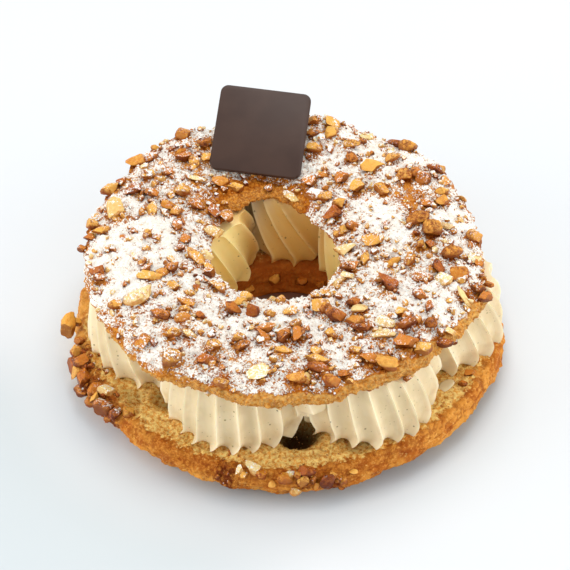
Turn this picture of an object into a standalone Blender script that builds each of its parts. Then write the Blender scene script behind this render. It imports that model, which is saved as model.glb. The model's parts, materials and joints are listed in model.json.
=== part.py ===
"""A paris-brest: a choux ring cut across into a base and a lid, with seven piped mounds of
praline cream between them and a square chocolate plaque leaning on the lid.

Metres, +Z up. The origin is the centre of the ring, on the surface it stands on. A bearing is an
angle round the ring seen from above: 0 degrees is the front (-Y) and 90 degrees is +X.
"""

import math

import bmesh
import bpy
from mathutils import Euler, Matrix, Vector

MM = 0.001
GAP = 0.3 * MM  # between pieces that rest on each other
LID_GAP = 0.5 * MM  # and between the cream and the uneven lid

# Base: the lower half of the ring, its flat cut face upwards
BASE_RADIUS = 63.3 * MM
BASE_HOLE = 20.8 * MM
BASE_CUT = 10.4 * MM  # height of the cut face
BASE_SEGMENTS = 56
BASE_BUMPS = ((-52, 6, -0.9), (30, 18, -1.0), (85, 20, 0.5))  # bearing, width, millimetres out

# Lid: the upper half of the ring, baked uneven, with an off-centre hole
LID_RADIUS = 57.6 * MM
LID_SHIFT = 1.2 * MM  # how far the outline leans off centre
LID_SHIFT_BEARING = -113
LID_BUMPS = ((-41, 9, 1.2), (-8, 9, 1.6), (12, 5, 1.2), (47, 4, -1.6), (68, 12, 2.0), (-140, 14, 1.0))
LID_HOLE_CENTRE = Vector((-3.2, 2.7)) * MM
LID_HOLE_HALF = Vector((19.0, 23.0)) * MM
LID_HOLE_FLAT = 15.0 * MM  # the hole's straight side is this far from the ring's centre
LID_HOLE_FLAT_BEARING = 126
LID_RIM = 31.9 * MM  # height of the lower outer edge
LID_RIM_DIPS = ((-42, 16, -0.8), (42, 9, -0.9), (24, 12, 0.7), (-24, 10, 0.6))
LID_ARCH = 2.2 * MM  # how far the underside rises from the outer edge to its middle
LID_LIP_DROP = 1.0 * MM  # and how far it falls again to the inner edge
LID_CREST = 39.2 * MM
LID_HOLLOWS = ((-165, 42, -1.9),)  # where the slope down to the hole is flatter
LID_SEGMENTS = 64

# Piped cream: bearing, distance of the centre from the ring's axis, radius of the ridges, and how
# far the ridges turn from top to foot, anticlockwise from above
MOUNDS = (
    (-22, 38.0, 20.6, -2),
    (33, 39.0, 21.2, 6),
    (84, 41.6, 22.0, 12),
    (130, 37.5, 20.8, 25),
    (174, 40.5, 20.6, 46),
    (232, 38.0, 21.0, 28),
    (285, 39.0, 20.8, 18),
)
RIDGES = 21
COLUMNS_PER_RIDGE = 3
CURL_BACK = 7  # degrees that the ridges turn back at the foot
CURL_HEIGHT = 0.2  # share of the height over which they do
# The mound's side from foot to top: share of the height, share of the radius, depth of the grooves
MOUND_SIDE = (
    (0.00, 0.985, 3.1 * MM),
    (0.06, 1.000, 2.4 * MM),
    (0.18, 1.005, 1.8 * MM),
    (0.40, 0.985, 1.4 * MM),
    (0.63, 0.930, 1.3 * MM),
    (0.83, 0.865, 1.2 * MM),
    (1.00, 0.790, 1.1 * MM),
)

# Plaque: a thin square of dark chocolate that leans on the back of the lid
PLAQUE_SIDE = 27.5 * MM
PLAQUE_THICKNESS = 1.7 * MM
PLAQUE_CORNER = 2.4 * MM
PLAQUE_BEVEL = 0.25 * MM
PLAQUE_CENTRE = Vector((-8.1, 43.4, 45.3)) * MM  # middle of the upper face
PLAQUE_TURN = -7.3
PLAQUE_TILT = 27.0
PLAQUE_ROLL = 3.0


def away(bearing, start):
    """Degrees from one bearing to another, between -180 and 180."""
    return (bearing - start + 180) % 360 - 180


def bumps(bearing, rows):
    """The sum of soft bumps given as rows of bearing, width in degrees and size in millimetres."""
    return sum(size * math.exp(-((away(bearing, at) / width) ** 2)) for at, width, size in rows) * MM


def at(bearing, radius, height):
    angle = math.radians(bearing)
    return Vector((radius * math.sin(angle), -radius * math.cos(angle), height))


def bearing_of(x, y):
    return math.degrees(math.atan2(x, -y))


def interpolate(share, rows):
    """The other values of the rows at this share, which is each row's first value."""
    for low, high in zip(rows, rows[1:]):
        if share <= high[0]:
            mix = (share - low[0]) / (high[0] - low[0])
            return [a + (b - a) * mix for a, b in zip(low[1:], high[1:])]
    return rows[-1][1:]


def material(name, colour, roughness):
    made = bpy.data.materials.new(name)
    made.use_nodes = True
    shader = made.node_tree.nodes["Principled BSDF"]
    shader.inputs["Base Color"].default_value = (*colour, 1)
    shader.inputs["Roughness"].default_value = roughness
    shader.inputs["Metallic"].default_value = 0
    return made


def add_object(name, bm, surface, smooth_angle):
    bmesh.ops.recalc_face_normals(bm, faces=bm.faces)
    mesh = bpy.data.meshes.new(name)
    bm.to_mesh(mesh)
    bm.free()
    mesh.materials.append(surface)
    mesh.shade_smooth()
    mesh.set_sharp_from_angle(angle=math.radians(smooth_angle))
    made = bpy.data.objects.new(name, mesh)
    bpy.context.collection.objects.link(made)
    return made


def skin(bm, loops, closed):
    """Faces between loops of vertices, each one closed on itself; closed joins last to first."""
    pairs = list(zip(loops, loops[1:]))
    if closed:
        pairs.append((loops[-1], loops[0]))
    for one, other in pairs:
        for i in range(len(one)):
            after = (i + 1) % len(one)
            bm.faces.new((one[i], one[after], other[after], other[i]))


def base_radius(bearing):
    return BASE_RADIUS + bumps(bearing, BASE_BUMPS)


def base_section(bearing):
    """Radius and height round the base's section, from the hole's foot outwards."""
    outer = base_radius(bearing)
    hole = BASE_HOLE
    return (
        (hole + 3.0 * MM, 0),
        (outer - 5.8 * MM, 0),
        (outer - 2.7 * MM, 0.9 * MM),
        (outer - 0.7 * MM, 2.8 * MM),
        (outer, 5.4 * MM),
        (outer - 0.3 * MM, 8.0 * MM),
        (outer - 2.3 * MM, BASE_CUT),
        (hole + 2.2 * MM, BASE_CUT),
        (hole + 0.8 * MM, 8.6 * MM),
        (hole, 3.4 * MM),
        (hole + 0.9 * MM, 0.9 * MM),
    )


def make_base():
    bm = bmesh.new()
    loops = []
    for i in range(BASE_SEGMENTS):
        bearing = 360 * i / BASE_SEGMENTS
        loops.append([bm.verts.new(at(bearing, r, z)) for r, z in base_section(bearing)])
    skin(bm, loops, closed=True)
    return add_object("choux_base", bm, material("baked_choux", (0.55, 0.28, 0.07), 0.6), 50)


def lid_outer(bearing):
    lean = math.cos(math.radians(away(bearing, LID_SHIFT_BEARING)))
    return LID_RADIUS + LID_SHIFT * lean + bumps(bearing, LID_BUMPS)


def lid_inner(bearing):
    """Distance from the ring's axis to the hole's edge: an ellipse off centre, with a flat side."""
    way = at(bearing, 1, 0)
    ax, ay = way.x / LID_HOLE_HALF.x, way.y / LID_HOLE_HALF.y
    cx, cy = LID_HOLE_CENTRE.x / LID_HOLE_HALF.x, LID_HOLE_CENTRE.y / LID_HOLE_HALF.y
    square, half, rest = ax * ax + ay * ay, ax * cx + ay * cy, cx * cx + cy * cy - 1
    ellipse = (half + math.sqrt(half * half - square * rest)) / square
    facing = math.cos(math.radians(away(bearing, LID_HOLE_FLAT_BEARING)))
    if facing <= 0.3:
        return ellipse
    flat = LID_HOLE_FLAT / facing
    return (ellipse**-8 + flat**-8) ** (-1 / 8)


def lid_underside(bearing, across):
    """Height of the lid's underside, across running from 0 at the hole to 1 at the outer edge."""
    if across < 0.5:
        return LID_RIM + LID_ARCH - LID_LIP_DROP * (1 - 2 * across) ** 2
    side = 2 * across - 1
    return LID_RIM + LID_ARCH * (1 - side**2) + bumps(bearing, LID_RIM_DIPS) * side


def lid_section(bearing):
    """Share of the way across and height round the lid's section, from the inner edge outwards."""
    under = [(share, lid_underside(bearing, share)) for share in (0.03, 0.25, 0.5, 0.75, 0.96)]
    dip = bumps(bearing, LID_RIM_DIPS)
    hollow = bumps(bearing, LID_HOLLOWS)
    outer = (
        (1.00, LID_RIM + 1.8 * MM + dip),
        (0.985, LID_RIM + 3.6 * MM + dip / 2),
        (0.93, LID_CREST - 2.1 * MM),
        (0.82, LID_CREST - 0.7 * MM),
    )
    top = (
        (0.63, LID_CREST + 0.2 * hollow),
        (0.42, LID_CREST - 0.2 * MM + 0.8 * hollow),
        (0.22, LID_CREST - 1.3 * MM + hollow),
        (0.07, LID_CREST - 2.9 * MM + 0.6 * hollow),
        (0.00, LID_CREST - 4.6 * MM),
    )
    return (*under, *outer, *top)


def make_lid():
    bm = bmesh.new()
    loops = []
    for i in range(LID_SEGMENTS):
        bearing = 360 * i / LID_SEGMENTS
        inner = lid_inner(bearing)
        width = lid_outer(bearing) - inner
        section = lid_section(bearing)
        loops.append([bm.verts.new(at(bearing, inner + width * share, z)) for share, z in section])
    skin(bm, loops, closed=True)
    return add_object("choux_lid", bm, material("sugared_choux", (0.80, 0.62, 0.45), 0.8), 50)


def mound_centre(index):
    bearing, distance = MOUNDS[index % len(MOUNDS)][:2]
    return at(bearing, distance * MM, 0)


def room_towards(index, neighbour):
    """The way to a neighbouring mound, and how far this one spreads before they meet."""
    span = mound_centre(neighbour) - mound_centre(index)
    radius = MOUNDS[index][2] * MM
    other = MOUNDS[neighbour % len(MOUNDS)][2] * MM
    distance = (span.length_squared + radius**2 - other**2) / (2 * span.length)
    return span.normalized(), distance - GAP / 2


def height_below_lid(point):
    """How high the cream may stand at a place before it meets the lid."""
    bearing = bearing_of(point.x, point.y)
    inner = lid_inner(bearing)
    across = (point.to_2d().length - inner) / (lid_outer(bearing) - inner)
    return lid_underside(bearing, max(across, 0)) - LID_GAP


def make_mound(index, surface):
    """A fluted mound: columns of vertices round its side, flattened where it meets its neighbours."""
    _, _, radius, twist = MOUNDS[index]
    centre = mound_centre(index)
    walls = [room_towards(index, index - 1), room_towards(index, index + 1)]
    columns = RIDGES * COLUMNS_PER_RIDGE
    foot = BASE_CUT + GAP

    def side(column, share):
        """Where a column of the side is, seen from above, at this share of the height."""
        size, groove = interpolate(share, MOUND_SIDE)
        between = column % COLUMNS_PER_RIDGE / COLUMNS_PER_RIDGE  # 0 on a ridge, 0.5 in a groove
        depth = groove * (1 - (1 - 2 * between) ** 2)
        curl = CURL_BACK * max(0, 1 - share / CURL_HEIGHT) ** 2
        way = at(360 * column / columns + twist * (1 - share) ** 0.8 - curl, 1, 0)
        out = radius * MM * size - depth
        for towards, room in walls:
            facing = way.dot(towards)
            if facing > 0:
                out = min(out, room / facing)
        return centre + way * out

    bm = bmesh.new()
    tops = [height_below_lid(side(column, 1)) for column in range(columns)]
    loops = []
    for share, _, _ in MOUND_SIDE:
        heights = [foot + (top - foot) * share for top in tops]
        points = [side(column, share) + Vector((0, 0, z)) for column, z in enumerate(heights)]
        loops.append([bm.verts.new(point) for point in points])
    skin(bm, loops, closed=False)
    below = bm.verts.new(centre + Vector((0, 0, foot)))
    above = bm.verts.new(centre + Vector((0, 0, height_below_lid(centre))))
    for column in range(columns):
        after = (column + 1) % columns
        bm.faces.new((below, loops[0][column], loops[0][after]))
        bm.faces.new((above, loops[-1][column], loops[-1][after]))
    return add_object(f"cream_mound_{index + 1}", bm, surface, 35)


def make_plaque():
    """A square with rounded corners, its upper face at the object's origin before it is turned."""
    bm = bmesh.new()
    half = PLAQUE_SIDE / 2 - PLAQUE_CORNER
    corner_steps = 4
    outline = []
    for quarter in range(4):
        middle = Matrix.Rotation(math.radians(90 * quarter), 3, "Z") @ Vector((half, half, 0))
        for step in range(corner_steps + 1):
            angle = math.radians(90 * (quarter + step / corner_steps))
            outline.append(middle + PLAQUE_CORNER * Vector((math.cos(angle), math.sin(angle), 0)))
    face = bm.faces.new([bm.verts.new(point) for point in outline])
    made = bmesh.ops.extrude_face_region(bm, geom=[face])
    lower = [item for item in made["geom"] if isinstance(item, bmesh.types.BMVert)]
    bmesh.ops.translate(bm, verts=lower, vec=Vector((0, 0, -PLAQUE_THICKNESS)))
    rims = [edge for edge in bm.edges if abs(edge.verts[0].co.z - edge.verts[1].co.z) < MM / 100]
    bmesh.ops.bevel(bm, geom=rims, offset=PLAQUE_BEVEL, segments=1, affect="EDGES")
    plaque = add_object("chocolate_plaque", bm, material("dark_chocolate", (0.08, 0.05, 0.04), 0.35), 30)
    plaque.location = PLAQUE_CENTRE
    turn = Euler((math.radians(PLAQUE_TILT), math.radians(PLAQUE_ROLL), 0)).to_matrix()
    plaque.rotation_euler = (Matrix.Rotation(math.radians(PLAQUE_TURN), 3, "Z") @ turn).to_euler()
    return plaque


for old in list(bpy.data.objects):
    bpy.data.objects.remove(old)

make_base()
cream = material("praline_cream", (0.74, 0.58, 0.36), 0.45)
for number in range(len(MOUNDS)):
    make_mound(number, cream)
make_lid()
make_plaque()
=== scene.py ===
# %% [markdown]
# # A paris-brest, built from the table up
# A paris-brest is a ring of choux pastry that is cut across like a bread roll, filled with piped praline
# cream and closed again with its lid, which is baked under chopped nuts and dusted with powdered sugar.
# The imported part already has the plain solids: a base, seven mounds of cream, a lid and a chocolate
# plaque. This lesson loads them as a fixed frame and makes the baker's version of each one over it.

import json
import math
import random

import bmesh
import bpy
import numpy as np
from mathutils import Euler, Matrix, Vector, noise

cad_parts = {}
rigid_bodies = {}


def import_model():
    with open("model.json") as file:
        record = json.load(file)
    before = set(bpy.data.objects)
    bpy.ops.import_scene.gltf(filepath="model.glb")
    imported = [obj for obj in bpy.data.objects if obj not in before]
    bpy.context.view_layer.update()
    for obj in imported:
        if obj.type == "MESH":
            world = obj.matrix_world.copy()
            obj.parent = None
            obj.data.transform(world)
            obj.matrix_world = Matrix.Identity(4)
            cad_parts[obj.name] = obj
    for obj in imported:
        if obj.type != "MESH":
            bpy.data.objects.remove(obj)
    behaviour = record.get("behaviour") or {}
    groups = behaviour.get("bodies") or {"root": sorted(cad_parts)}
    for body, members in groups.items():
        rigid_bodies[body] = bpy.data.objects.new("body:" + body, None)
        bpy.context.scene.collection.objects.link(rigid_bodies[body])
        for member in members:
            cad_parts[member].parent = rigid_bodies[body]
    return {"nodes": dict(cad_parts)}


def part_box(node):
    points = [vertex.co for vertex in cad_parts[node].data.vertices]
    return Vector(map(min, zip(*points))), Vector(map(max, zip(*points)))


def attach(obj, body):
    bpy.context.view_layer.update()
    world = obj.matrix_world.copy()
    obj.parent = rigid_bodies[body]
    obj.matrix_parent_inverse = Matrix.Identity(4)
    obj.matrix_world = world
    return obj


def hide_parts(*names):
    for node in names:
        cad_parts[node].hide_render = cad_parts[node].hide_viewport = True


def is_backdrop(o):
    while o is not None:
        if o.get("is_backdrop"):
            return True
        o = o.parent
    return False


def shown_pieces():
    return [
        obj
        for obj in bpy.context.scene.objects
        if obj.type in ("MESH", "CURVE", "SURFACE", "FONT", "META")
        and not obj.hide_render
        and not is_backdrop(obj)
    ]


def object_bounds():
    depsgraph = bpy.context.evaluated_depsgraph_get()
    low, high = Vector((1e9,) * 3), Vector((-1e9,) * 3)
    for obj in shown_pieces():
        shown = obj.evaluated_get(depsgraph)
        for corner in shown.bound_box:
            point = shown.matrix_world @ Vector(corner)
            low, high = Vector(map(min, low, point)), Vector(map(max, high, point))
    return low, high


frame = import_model()
cad_low, cad_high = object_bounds()
MM = 0.001
print("solids:", ", ".join(sorted(frame["nodes"])))
print("box in mm:", [round((high - low) / MM, 1) for low, high in zip(cad_low, cad_high)])

# %% [markdown]
# ## The pastry's measures
# Every piece has to sit where its solid sits, so the heights are read from the solids' own boxes, and the
# ring's outlines are the same few named values that the solids were made from. A bearing is an angle round
# the ring seen from above: 0 degrees is the front and 90 degrees is the right.

# %% Measures of the base and the lid
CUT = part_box("choux_base")[1].z  # height of the base's cut face
BASE_RADIUS = 63.3
BASE_HOLE = 20.8
BASE_BUMPS = ((-52, 6, -0.9), (30, 18, -1.0), (85, 20, 0.5))  # bearing, width, millimetres out

LID_RADIUS = 57.6
LID_SHIFT, LID_SHIFT_BEARING = 1.2, -113  # the outline leans this far off centre
LID_BUMPS = ((-41, 9, 1.2), (-8, 9, 1.6), (12, 5, 1.2), (47, 4, -1.6), (68, 12, 2.0), (-140, 14, 1.0))
LID_HOLE_CENTRE = (-3.2, 2.7)
LID_HOLE_HALF = (19.0, 23.0)
LID_HOLE_FLAT, LID_HOLE_FLAT_BEARING = 15.0, 126  # one side of the hole is straight
LID_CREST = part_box("choux_lid")[1].z / MM
LID_RIM = LID_CREST - 7.3  # height of the lower outer edge
LID_RIM_DIPS = ((-42, 16, -0.8), (42, 9, -0.9), (24, 12, 0.7), (-24, 10, 0.6))
LID_ARCH = 2.2  # how far the underside rises from the outer edge to its middle
LID_LIP_DROP = 1.0  # and how far it falls again to the inner edge
LID_HOLLOWS = ((-165, 42, -1.9),)  # where the slope down to the hole is flatter
print(f"cut at {CUT / MM:.1f} mm, lid from {LID_RIM:.1f} to {LID_CREST:.1f} mm")


# %% Outlines by bearing, for one bearing or for many at once
def away(bearing, start):
    """Degrees from one bearing to another, between -180 and 180."""
    return (bearing - start + 180) % 360 - 180


def bumps(bearing, rows):
    """The sum of soft bumps, each a bearing, a width in degrees and a size in millimetres."""
    return sum(size * np.exp(-((away(bearing, middle) / width) ** 2)) for middle, width, size in rows)


def base_outer(bearing):
    """Distance from the ring's axis to the base's outer edge, in millimetres."""
    return BASE_RADIUS + bumps(bearing, BASE_BUMPS)


def lid_outer(bearing):
    """Distance from the ring's axis to the lid's outer edge, in millimetres."""
    lean = np.cos(np.radians(away(bearing, LID_SHIFT_BEARING)))
    return LID_RADIUS + LID_SHIFT * lean + bumps(bearing, LID_BUMPS)


def lid_inner(bearing):
    """Distance from the ring's axis to the hole's edge: an ellipse off centre, with a straight side."""
    angle = np.radians(bearing)
    ax, ay = np.sin(angle) / LID_HOLE_HALF[0], -np.cos(angle) / LID_HOLE_HALF[1]
    cx, cy = LID_HOLE_CENTRE[0] / LID_HOLE_HALF[0], LID_HOLE_CENTRE[1] / LID_HOLE_HALF[1]
    square, half, rest = ax * ax + ay * ay, ax * cx + ay * cy, cx * cx + cy * cy - 1
    ellipse = (half + np.sqrt(half * half - square * rest)) / square
    facing = np.cos(np.radians(away(bearing, LID_HOLE_FLAT_BEARING)))
    flat = LID_HOLE_FLAT / np.maximum(facing, 0.3)
    return np.where(facing > 0.3, (ellipse**-8 + flat**-8) ** (-1 / 8), ellipse)


def lid_underside(bearing, across):
    """Height of the lid's underside; across runs from 0 at the hole to 1 at the outer edge."""
    side = 2 * across - 1
    dips = bumps(bearing, LID_RIM_DIPS)
    inner = LID_RIM + LID_ARCH - LID_LIP_DROP * side**2
    outer = LID_RIM + LID_ARCH * (1 - side**2) + dips * side
    return np.where(side < 0, inner, outer)


print("lid from", lid_inner(np.arange(0, 360, 90)).round(1), "to", lid_outer(np.arange(0, 360, 90)).round(1))

# %% [markdown]
# ## The table, the light and the camera
# The ring stands on a plain white surface in a white tent: most of the light comes evenly from all round, so
# the shadows are short and soft. One large panel above and behind, a little to the right, gives the nuts
# their gloss, and low cards in front and at both sides throw light back at the cream. A very small warm light
# brightens the hole. The camera looks down at 44 degrees with a long lens, as one does over a cake counter.

# %% Camera
VIEW_TILT = 44  # degrees above the table
VIEW_DISTANCE = 0.615
VIEW_TARGET = Vector((-0.00075, 0, 0.0229))
VIEW_LENS = 132.7
tilt = math.radians(VIEW_TILT)
camera = bpy.data.objects.new("camera", bpy.data.cameras.new("camera"))
camera.location = VIEW_TARGET + VIEW_DISTANCE * Vector((0, -math.cos(tilt), math.sin(tilt)))
camera.rotation_euler = (math.pi / 2 - tilt, 0, 0)
camera.data.lens = VIEW_LENS
camera.data.clip_start = 0.01
bpy.context.collection.objects.link(camera)
bpy.context.scene.camera = camera
print("camera at", [round(value, 4) for value in camera.location])


# %% Lights
def soft_panel(name, place, target, width, height, power, colour):
    """A rectangular area light at a place, turned towards a target."""
    panel = bpy.data.objects.new(name, bpy.data.lights.new(name, "AREA"))
    panel.data.shape = "RECTANGLE"
    panel.data.size = width
    panel.data.size_y = height
    panel.data.energy = power
    panel.data.color = colour
    panel.location = place
    panel.rotation_euler = (Vector(target) - Vector(place)).to_track_quat("-Z", "Y").to_euler()
    bpy.context.collection.objects.link(panel)
    return panel


soft_panel("window", (0.06, 0.27, 0.66), (0, 0, 0.02), 0.45, 0.40, 2.3, (1.0, 0.985, 0.96))
soft_panel("front_card", (-0.05, -0.60, 0.20), (0, 0, 0.03), 0.5, 0.3, 0.22, (1.0, 1.0, 1.0))
soft_panel("right_card", (0.58, -0.12, 0.18), (0, 0, 0.03), 0.5, 0.3, 1.8, (1.0, 1.0, 1.0))
soft_panel("left_card", (-0.56, -0.16, 0.18), (0, 0, 0.03), 0.5, 0.3, 1.95, (1.0, 1.0, 1.0))
# a little warm light in the hole stands in for what the cream and the crust throw at each other there
GLOW_PLACE = (-0.003, -0.006, 0.021)
GLOW_POWER = 0.0024
GLOW_RADIUS = 0.005
glow = bpy.data.objects.new("hole_glow", bpy.data.lights.new("hole_glow", "POINT"))
glow.data.energy = GLOW_POWER
glow.data.color = (1.0, 0.93, 0.76)
glow.data.shadow_soft_size = GLOW_RADIUS
glow.location = GLOW_PLACE
glow.visible_camera = False
bpy.context.collection.objects.link(glow)
TENT_WHITE = (0.955, 0.985, 1.0, 1)
TENT_STRENGTH = 0.75
surroundings = bpy.data.worlds.new("white surroundings")
surroundings.use_nodes = True
surroundings.node_tree.nodes["Background"].inputs["Color"].default_value = TENT_WHITE
surroundings.node_tree.nodes["Background"].inputs["Strength"].default_value = TENT_STRENGTH
bpy.context.scene.world = surroundings
bpy.context.scene.view_settings.view_transform = "Standard"
bpy.context.scene.view_settings.look = "None"
print("lights:", ", ".join(light.name for light in bpy.data.lights))

# %% [markdown]
# ## Node trees written as sums
# Both materials and Geometry Nodes are trees of small steps. Adding every Math node by hand hides the idea
# behind it, so one small class wraps a socket: a sum or a product written in Python adds the Math node for
# it. Every other kind of node comes from one method that takes its type, its settings and what goes in.


# %% A wire and a bench
class Wire:
    """One output of a node, which Python's arithmetic works on."""

    def __init__(self, bench, socket):
        self.bench = bench
        self.socket = socket

    def __add__(self, other):
        return self.bench.maths("ADD", self, other)

    def __sub__(self, other):
        return self.bench.maths("SUBTRACT", self, other)

    def __rsub__(self, other):
        return self.bench.maths("SUBTRACT", other, self)

    def __mul__(self, other):
        return self.bench.maths("MULTIPLY", self, other)

    def __truediv__(self, other):
        return self.bench.maths("DIVIDE", self, other)

    def __rtruediv__(self, other):
        return self.bench.maths("DIVIDE", other, self)

    def __pow__(self, other):
        return self.bench.maths("POWER", self, other)

    __radd__ = __add__
    __rmul__ = __mul__

    def output(self, name):
        """Another output of the same node."""
        return Wire(self.bench, self.socket.node.outputs[name])


class Bench:
    """A node tree to build on."""

    def __init__(self, tree):
        self.tree = tree
        self.given = {}

    def plug(self, value, socket):
        """Links a wire to a socket, or sets the socket to a plain value."""
        if isinstance(value, Wire):
            self.tree.links.new(value.socket, socket)
        else:
            socket.default_value = value

    def node(self, kind, settings=None, sockets=None, output=0):
        """A node of any kind: its settings first, then the values or links of its sockets. The setting
        "curve" gives the points of a Float Curve."""
        made = self.tree.nodes.new(kind)
        for name, value in (settings or {}).items():
            if name == "curve":
                made.mapping.use_clip = False
                points = made.mapping.curves[0].points
                while len(points) < len(value):
                    points.new(0.5, 0.5)
                for point, place in zip(points, value):
                    point.location = place
                made.mapping.update()
            else:
                setattr(made, name, value)
        for name, value in (sockets or {}).items():
            self.plug(value, made.inputs[name])
        return Wire(self, made.outputs[output])

    def maths(self, operation, *values):
        """A Math node on these numbers."""
        sockets = dict(enumerate(values))
        return self.node("ShaderNodeMath", {"operation": operation}, sockets)

    def vector(self, operation, *values, output=0):
        """A Vector Math node on these vectors."""
        sockets = dict(enumerate(values))
        return self.node("ShaderNodeVectorMath", {"operation": operation}, sockets, output)

    def scaled(self, vector, amount):
        """A vector times a number."""
        settings = {"operation": "SCALE"}
        return self.node("ShaderNodeVectorMath", settings, {0: vector, "Scale": amount})

    def join(self, x, y, z):
        """A vector from three numbers."""
        return self.node("ShaderNodeCombineXYZ", sockets={0: x, 1: y, 2: z})

    def split(self, vector):
        """A vector's three numbers."""
        node = self.node("ShaderNodeSeparateXYZ", sockets={0: vector})
        return node, node.output("Y"), node.output("Z")

    def step(self, value, low, high, start=0.0, end=1.0):
        """A soft step: start where the value is at low or before it, end where it is at high or past it."""
        settings = {"interpolation_type": "SMOOTHSTEP"}
        sockets = {"Value": value, "From Min": low, "From Max": high, "To Min": start, "To Max": end}
        return self.node("ShaderNodeMapRange", settings, sockets)

    def noise(self, place, size, detail=2.0, roughness=0.5):
        """Soft noise around 0.5, with lumps of this size in millimetres."""
        sockets = {"Vector": place, "Scale": 1 / (size * MM), "Detail": detail, "Roughness": roughness}
        return self.node("ShaderNodeTexNoise", {"noise_dimensions": "3D"}, sockets)

    def cells(self, place, size):
        """Distance to the nearest of points that are strewn about this many millimetres apart, as a share of
        that."""
        sockets = {"Vector": place, "Scale": 1 / (size * MM)}
        return self.node("ShaderNodeTexVoronoi", {"feature": "F1"}, sockets)

    def blend(self, share, one, other):
        """One colour going over into another."""
        settings = {"data_type": "RGBA", "blend_type": "MIX", "clamp_factor": True}
        return self.node("ShaderNodeMix", settings, {0: share, 6: one, 7: other}, 2)

    def bump(self, height, strength, depth):
        """A bump of this depth in millimetres."""
        sockets = {"Height": height, "Strength": strength, "Distance": depth * MM}
        return self.node("ShaderNodeBump", sockets=sockets)


# %% Colours and materials
def tone(red, green, blue):
    """A colour given as it looks on a screen, 0 to 255, as the shader's linear one."""
    linear = []
    for value in (red, green, blue):
        share = value / 255
        linear.append(share / 12.92 if share <= 0.04045 else ((share + 0.055) / 1.055) ** 2.4)
    return (*linear, 1.0)


def new_finish(name, fixed, painted):
    """A material: fixed values sit on the shader's own sockets, and painted(bench) gives what varies."""
    made = bpy.data.materials.new(name)
    made.use_nodes = True
    bench = Bench(made.node_tree)
    shader = made.node_tree.nodes["Principled BSDF"]
    for socket, value in fixed.items():
        shader.inputs[socket].default_value = value
    for socket, value in painted(bench).items():
        bench.plug(value, shader.inputs[socket])
    print(f"{name}: {len(made.node_tree.nodes)} nodes")
    return made


def object_place(bench):
    """Where a point is on the piece, in metres, which never slides as the camera moves."""
    return bench.node("ShaderNodeTexCoord", output="Object")


def facing_up(bench):
    """How far the surface faces up, from -1 to 1."""
    normal = bench.node("ShaderNodeNewGeometry", output="Normal")
    return bench.split(normal)[2]


def painted_on(bench, name):
    """A number stored on the piece's points."""
    return bench.node("ShaderNodeAttribute", {"attribute_name": name}, output="Fac")


# %% [markdown]
# ## The finishes
# Baked choux is never one brown. Its skin runs from gold to chestnut over a few millimetres, the cut crumb is
# lighter and more open, and powdered sugar lies on whatever faces up. Noise of a few sizes gives each of
# these, and numbers stored on the pieces' points say where the sugar and the crumb are.

# %% The baked crust of the base
CRUST_GOLD = tone(226, 152, 62)
CRUST_BROWN = tone(192, 108, 32)
CRUST_RED = tone(140, 58, 8)
CRUST_PALE = tone(244, 190, 104)
TOASTED_GOLD = tone(198, 120, 36)
TOASTED_BROWN = tone(148, 72, 10)
# caramel, and on the lid also painted shade round the nuts
CARAMEL_AND_SHADE = tone(98, 28, 0)
CRUMB_LIGHT = tone(255, 222, 138)
CRUMB_DARK = tone(236, 166, 74)
CRUMB_PORE = tone(158, 88, 24)
# the crust of the hole's wall, darker also as painted shade
HOLE_WALL_SHADE = tone(172, 90, 30)
# painted shade in the deep hollows of the cut face
HOLLOW_SHADE = tone(52, 20, 6)


def crust_colour(bench, place):
    """Gold going over into brown and chestnut, with painted shade in the cracks. The points' "toasted" makes
    the skin paler below 0 and browner above it, and "caramel" makes it nearly black: caramel on the base, and
    on the lid caramel and painted shade round the nuts."""
    broad = bench.step(bench.noise(place, 7, 3, 0.6), 0.38, 0.62)
    skin = bench.blend(broad, CRUST_BROWN, CRUST_GOLD)
    patches = bench.step(bench.noise(place, 3.2, 4, 0.65), 0.54, 0.66)
    skin = bench.blend(patches * 0.7, skin, CRUST_RED)
    grit = bench.noise(place, 0.8, 4, 0.7)
    skin = bench.blend(bench.step(grit, 0.52, 0.70) * 0.75, skin, CRUST_PALE)
    skin = bench.blend(bench.step(grit, 0.46, 0.32) * 0.45, skin, CRUST_RED)
    # painted shade in the cracks, where the skin rose least
    crack_shade = bench.step(painted_on(bench, "rise") + (grit - 0.5) * 0.5, 0.30, 0.02)
    skin = bench.blend(crack_shade * 0.55, skin, CRUST_RED)
    dark = painted_on(bench, "toasted") + (bench.noise(place, 2.4, 3, 0.6) - 0.5) * 0.9
    skin = bench.blend(bench.step(dark, 0.0, -0.7) * 0.75, skin, CRUST_PALE)
    toast = bench.blend(bench.step(grit, 0.43, 0.58), TOASTED_BROWN, TOASTED_GOLD)
    skin = bench.blend(bench.step(dark, 0.2, 0.8) * 0.9, skin, toast)
    sticky = painted_on(bench, "caramel") * 0.8 + (bench.noise(place, 1.1, 4, 0.75) - 0.5) * 2.2
    return bench.blend(bench.step(sticky, 0.22, 0.80) * 0.9, skin, CARAMEL_AND_SHADE)


def crumb_colour(bench, place):
    """The open inside of the pastry: light walls round darker pores."""
    fine = bench.noise(place, 0.9, 4, 0.7)
    crumb = bench.blend(bench.step(fine, 0.41, 0.56), CRUMB_DARK, CRUMB_LIGHT)
    pores = bench.step(bench.cells(place, 1.7) + (fine - 0.5) * 1.2, 0.42, 0.10)
    crumb = bench.blend(pores * 0.42, crumb, CRUMB_PORE)
    toasted = bench.step(bench.noise(place, 3.4, 3, 0.6), 0.50, 0.66)
    return bench.blend(toasted * 0.3, crumb, CRUST_BROWN)


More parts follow.
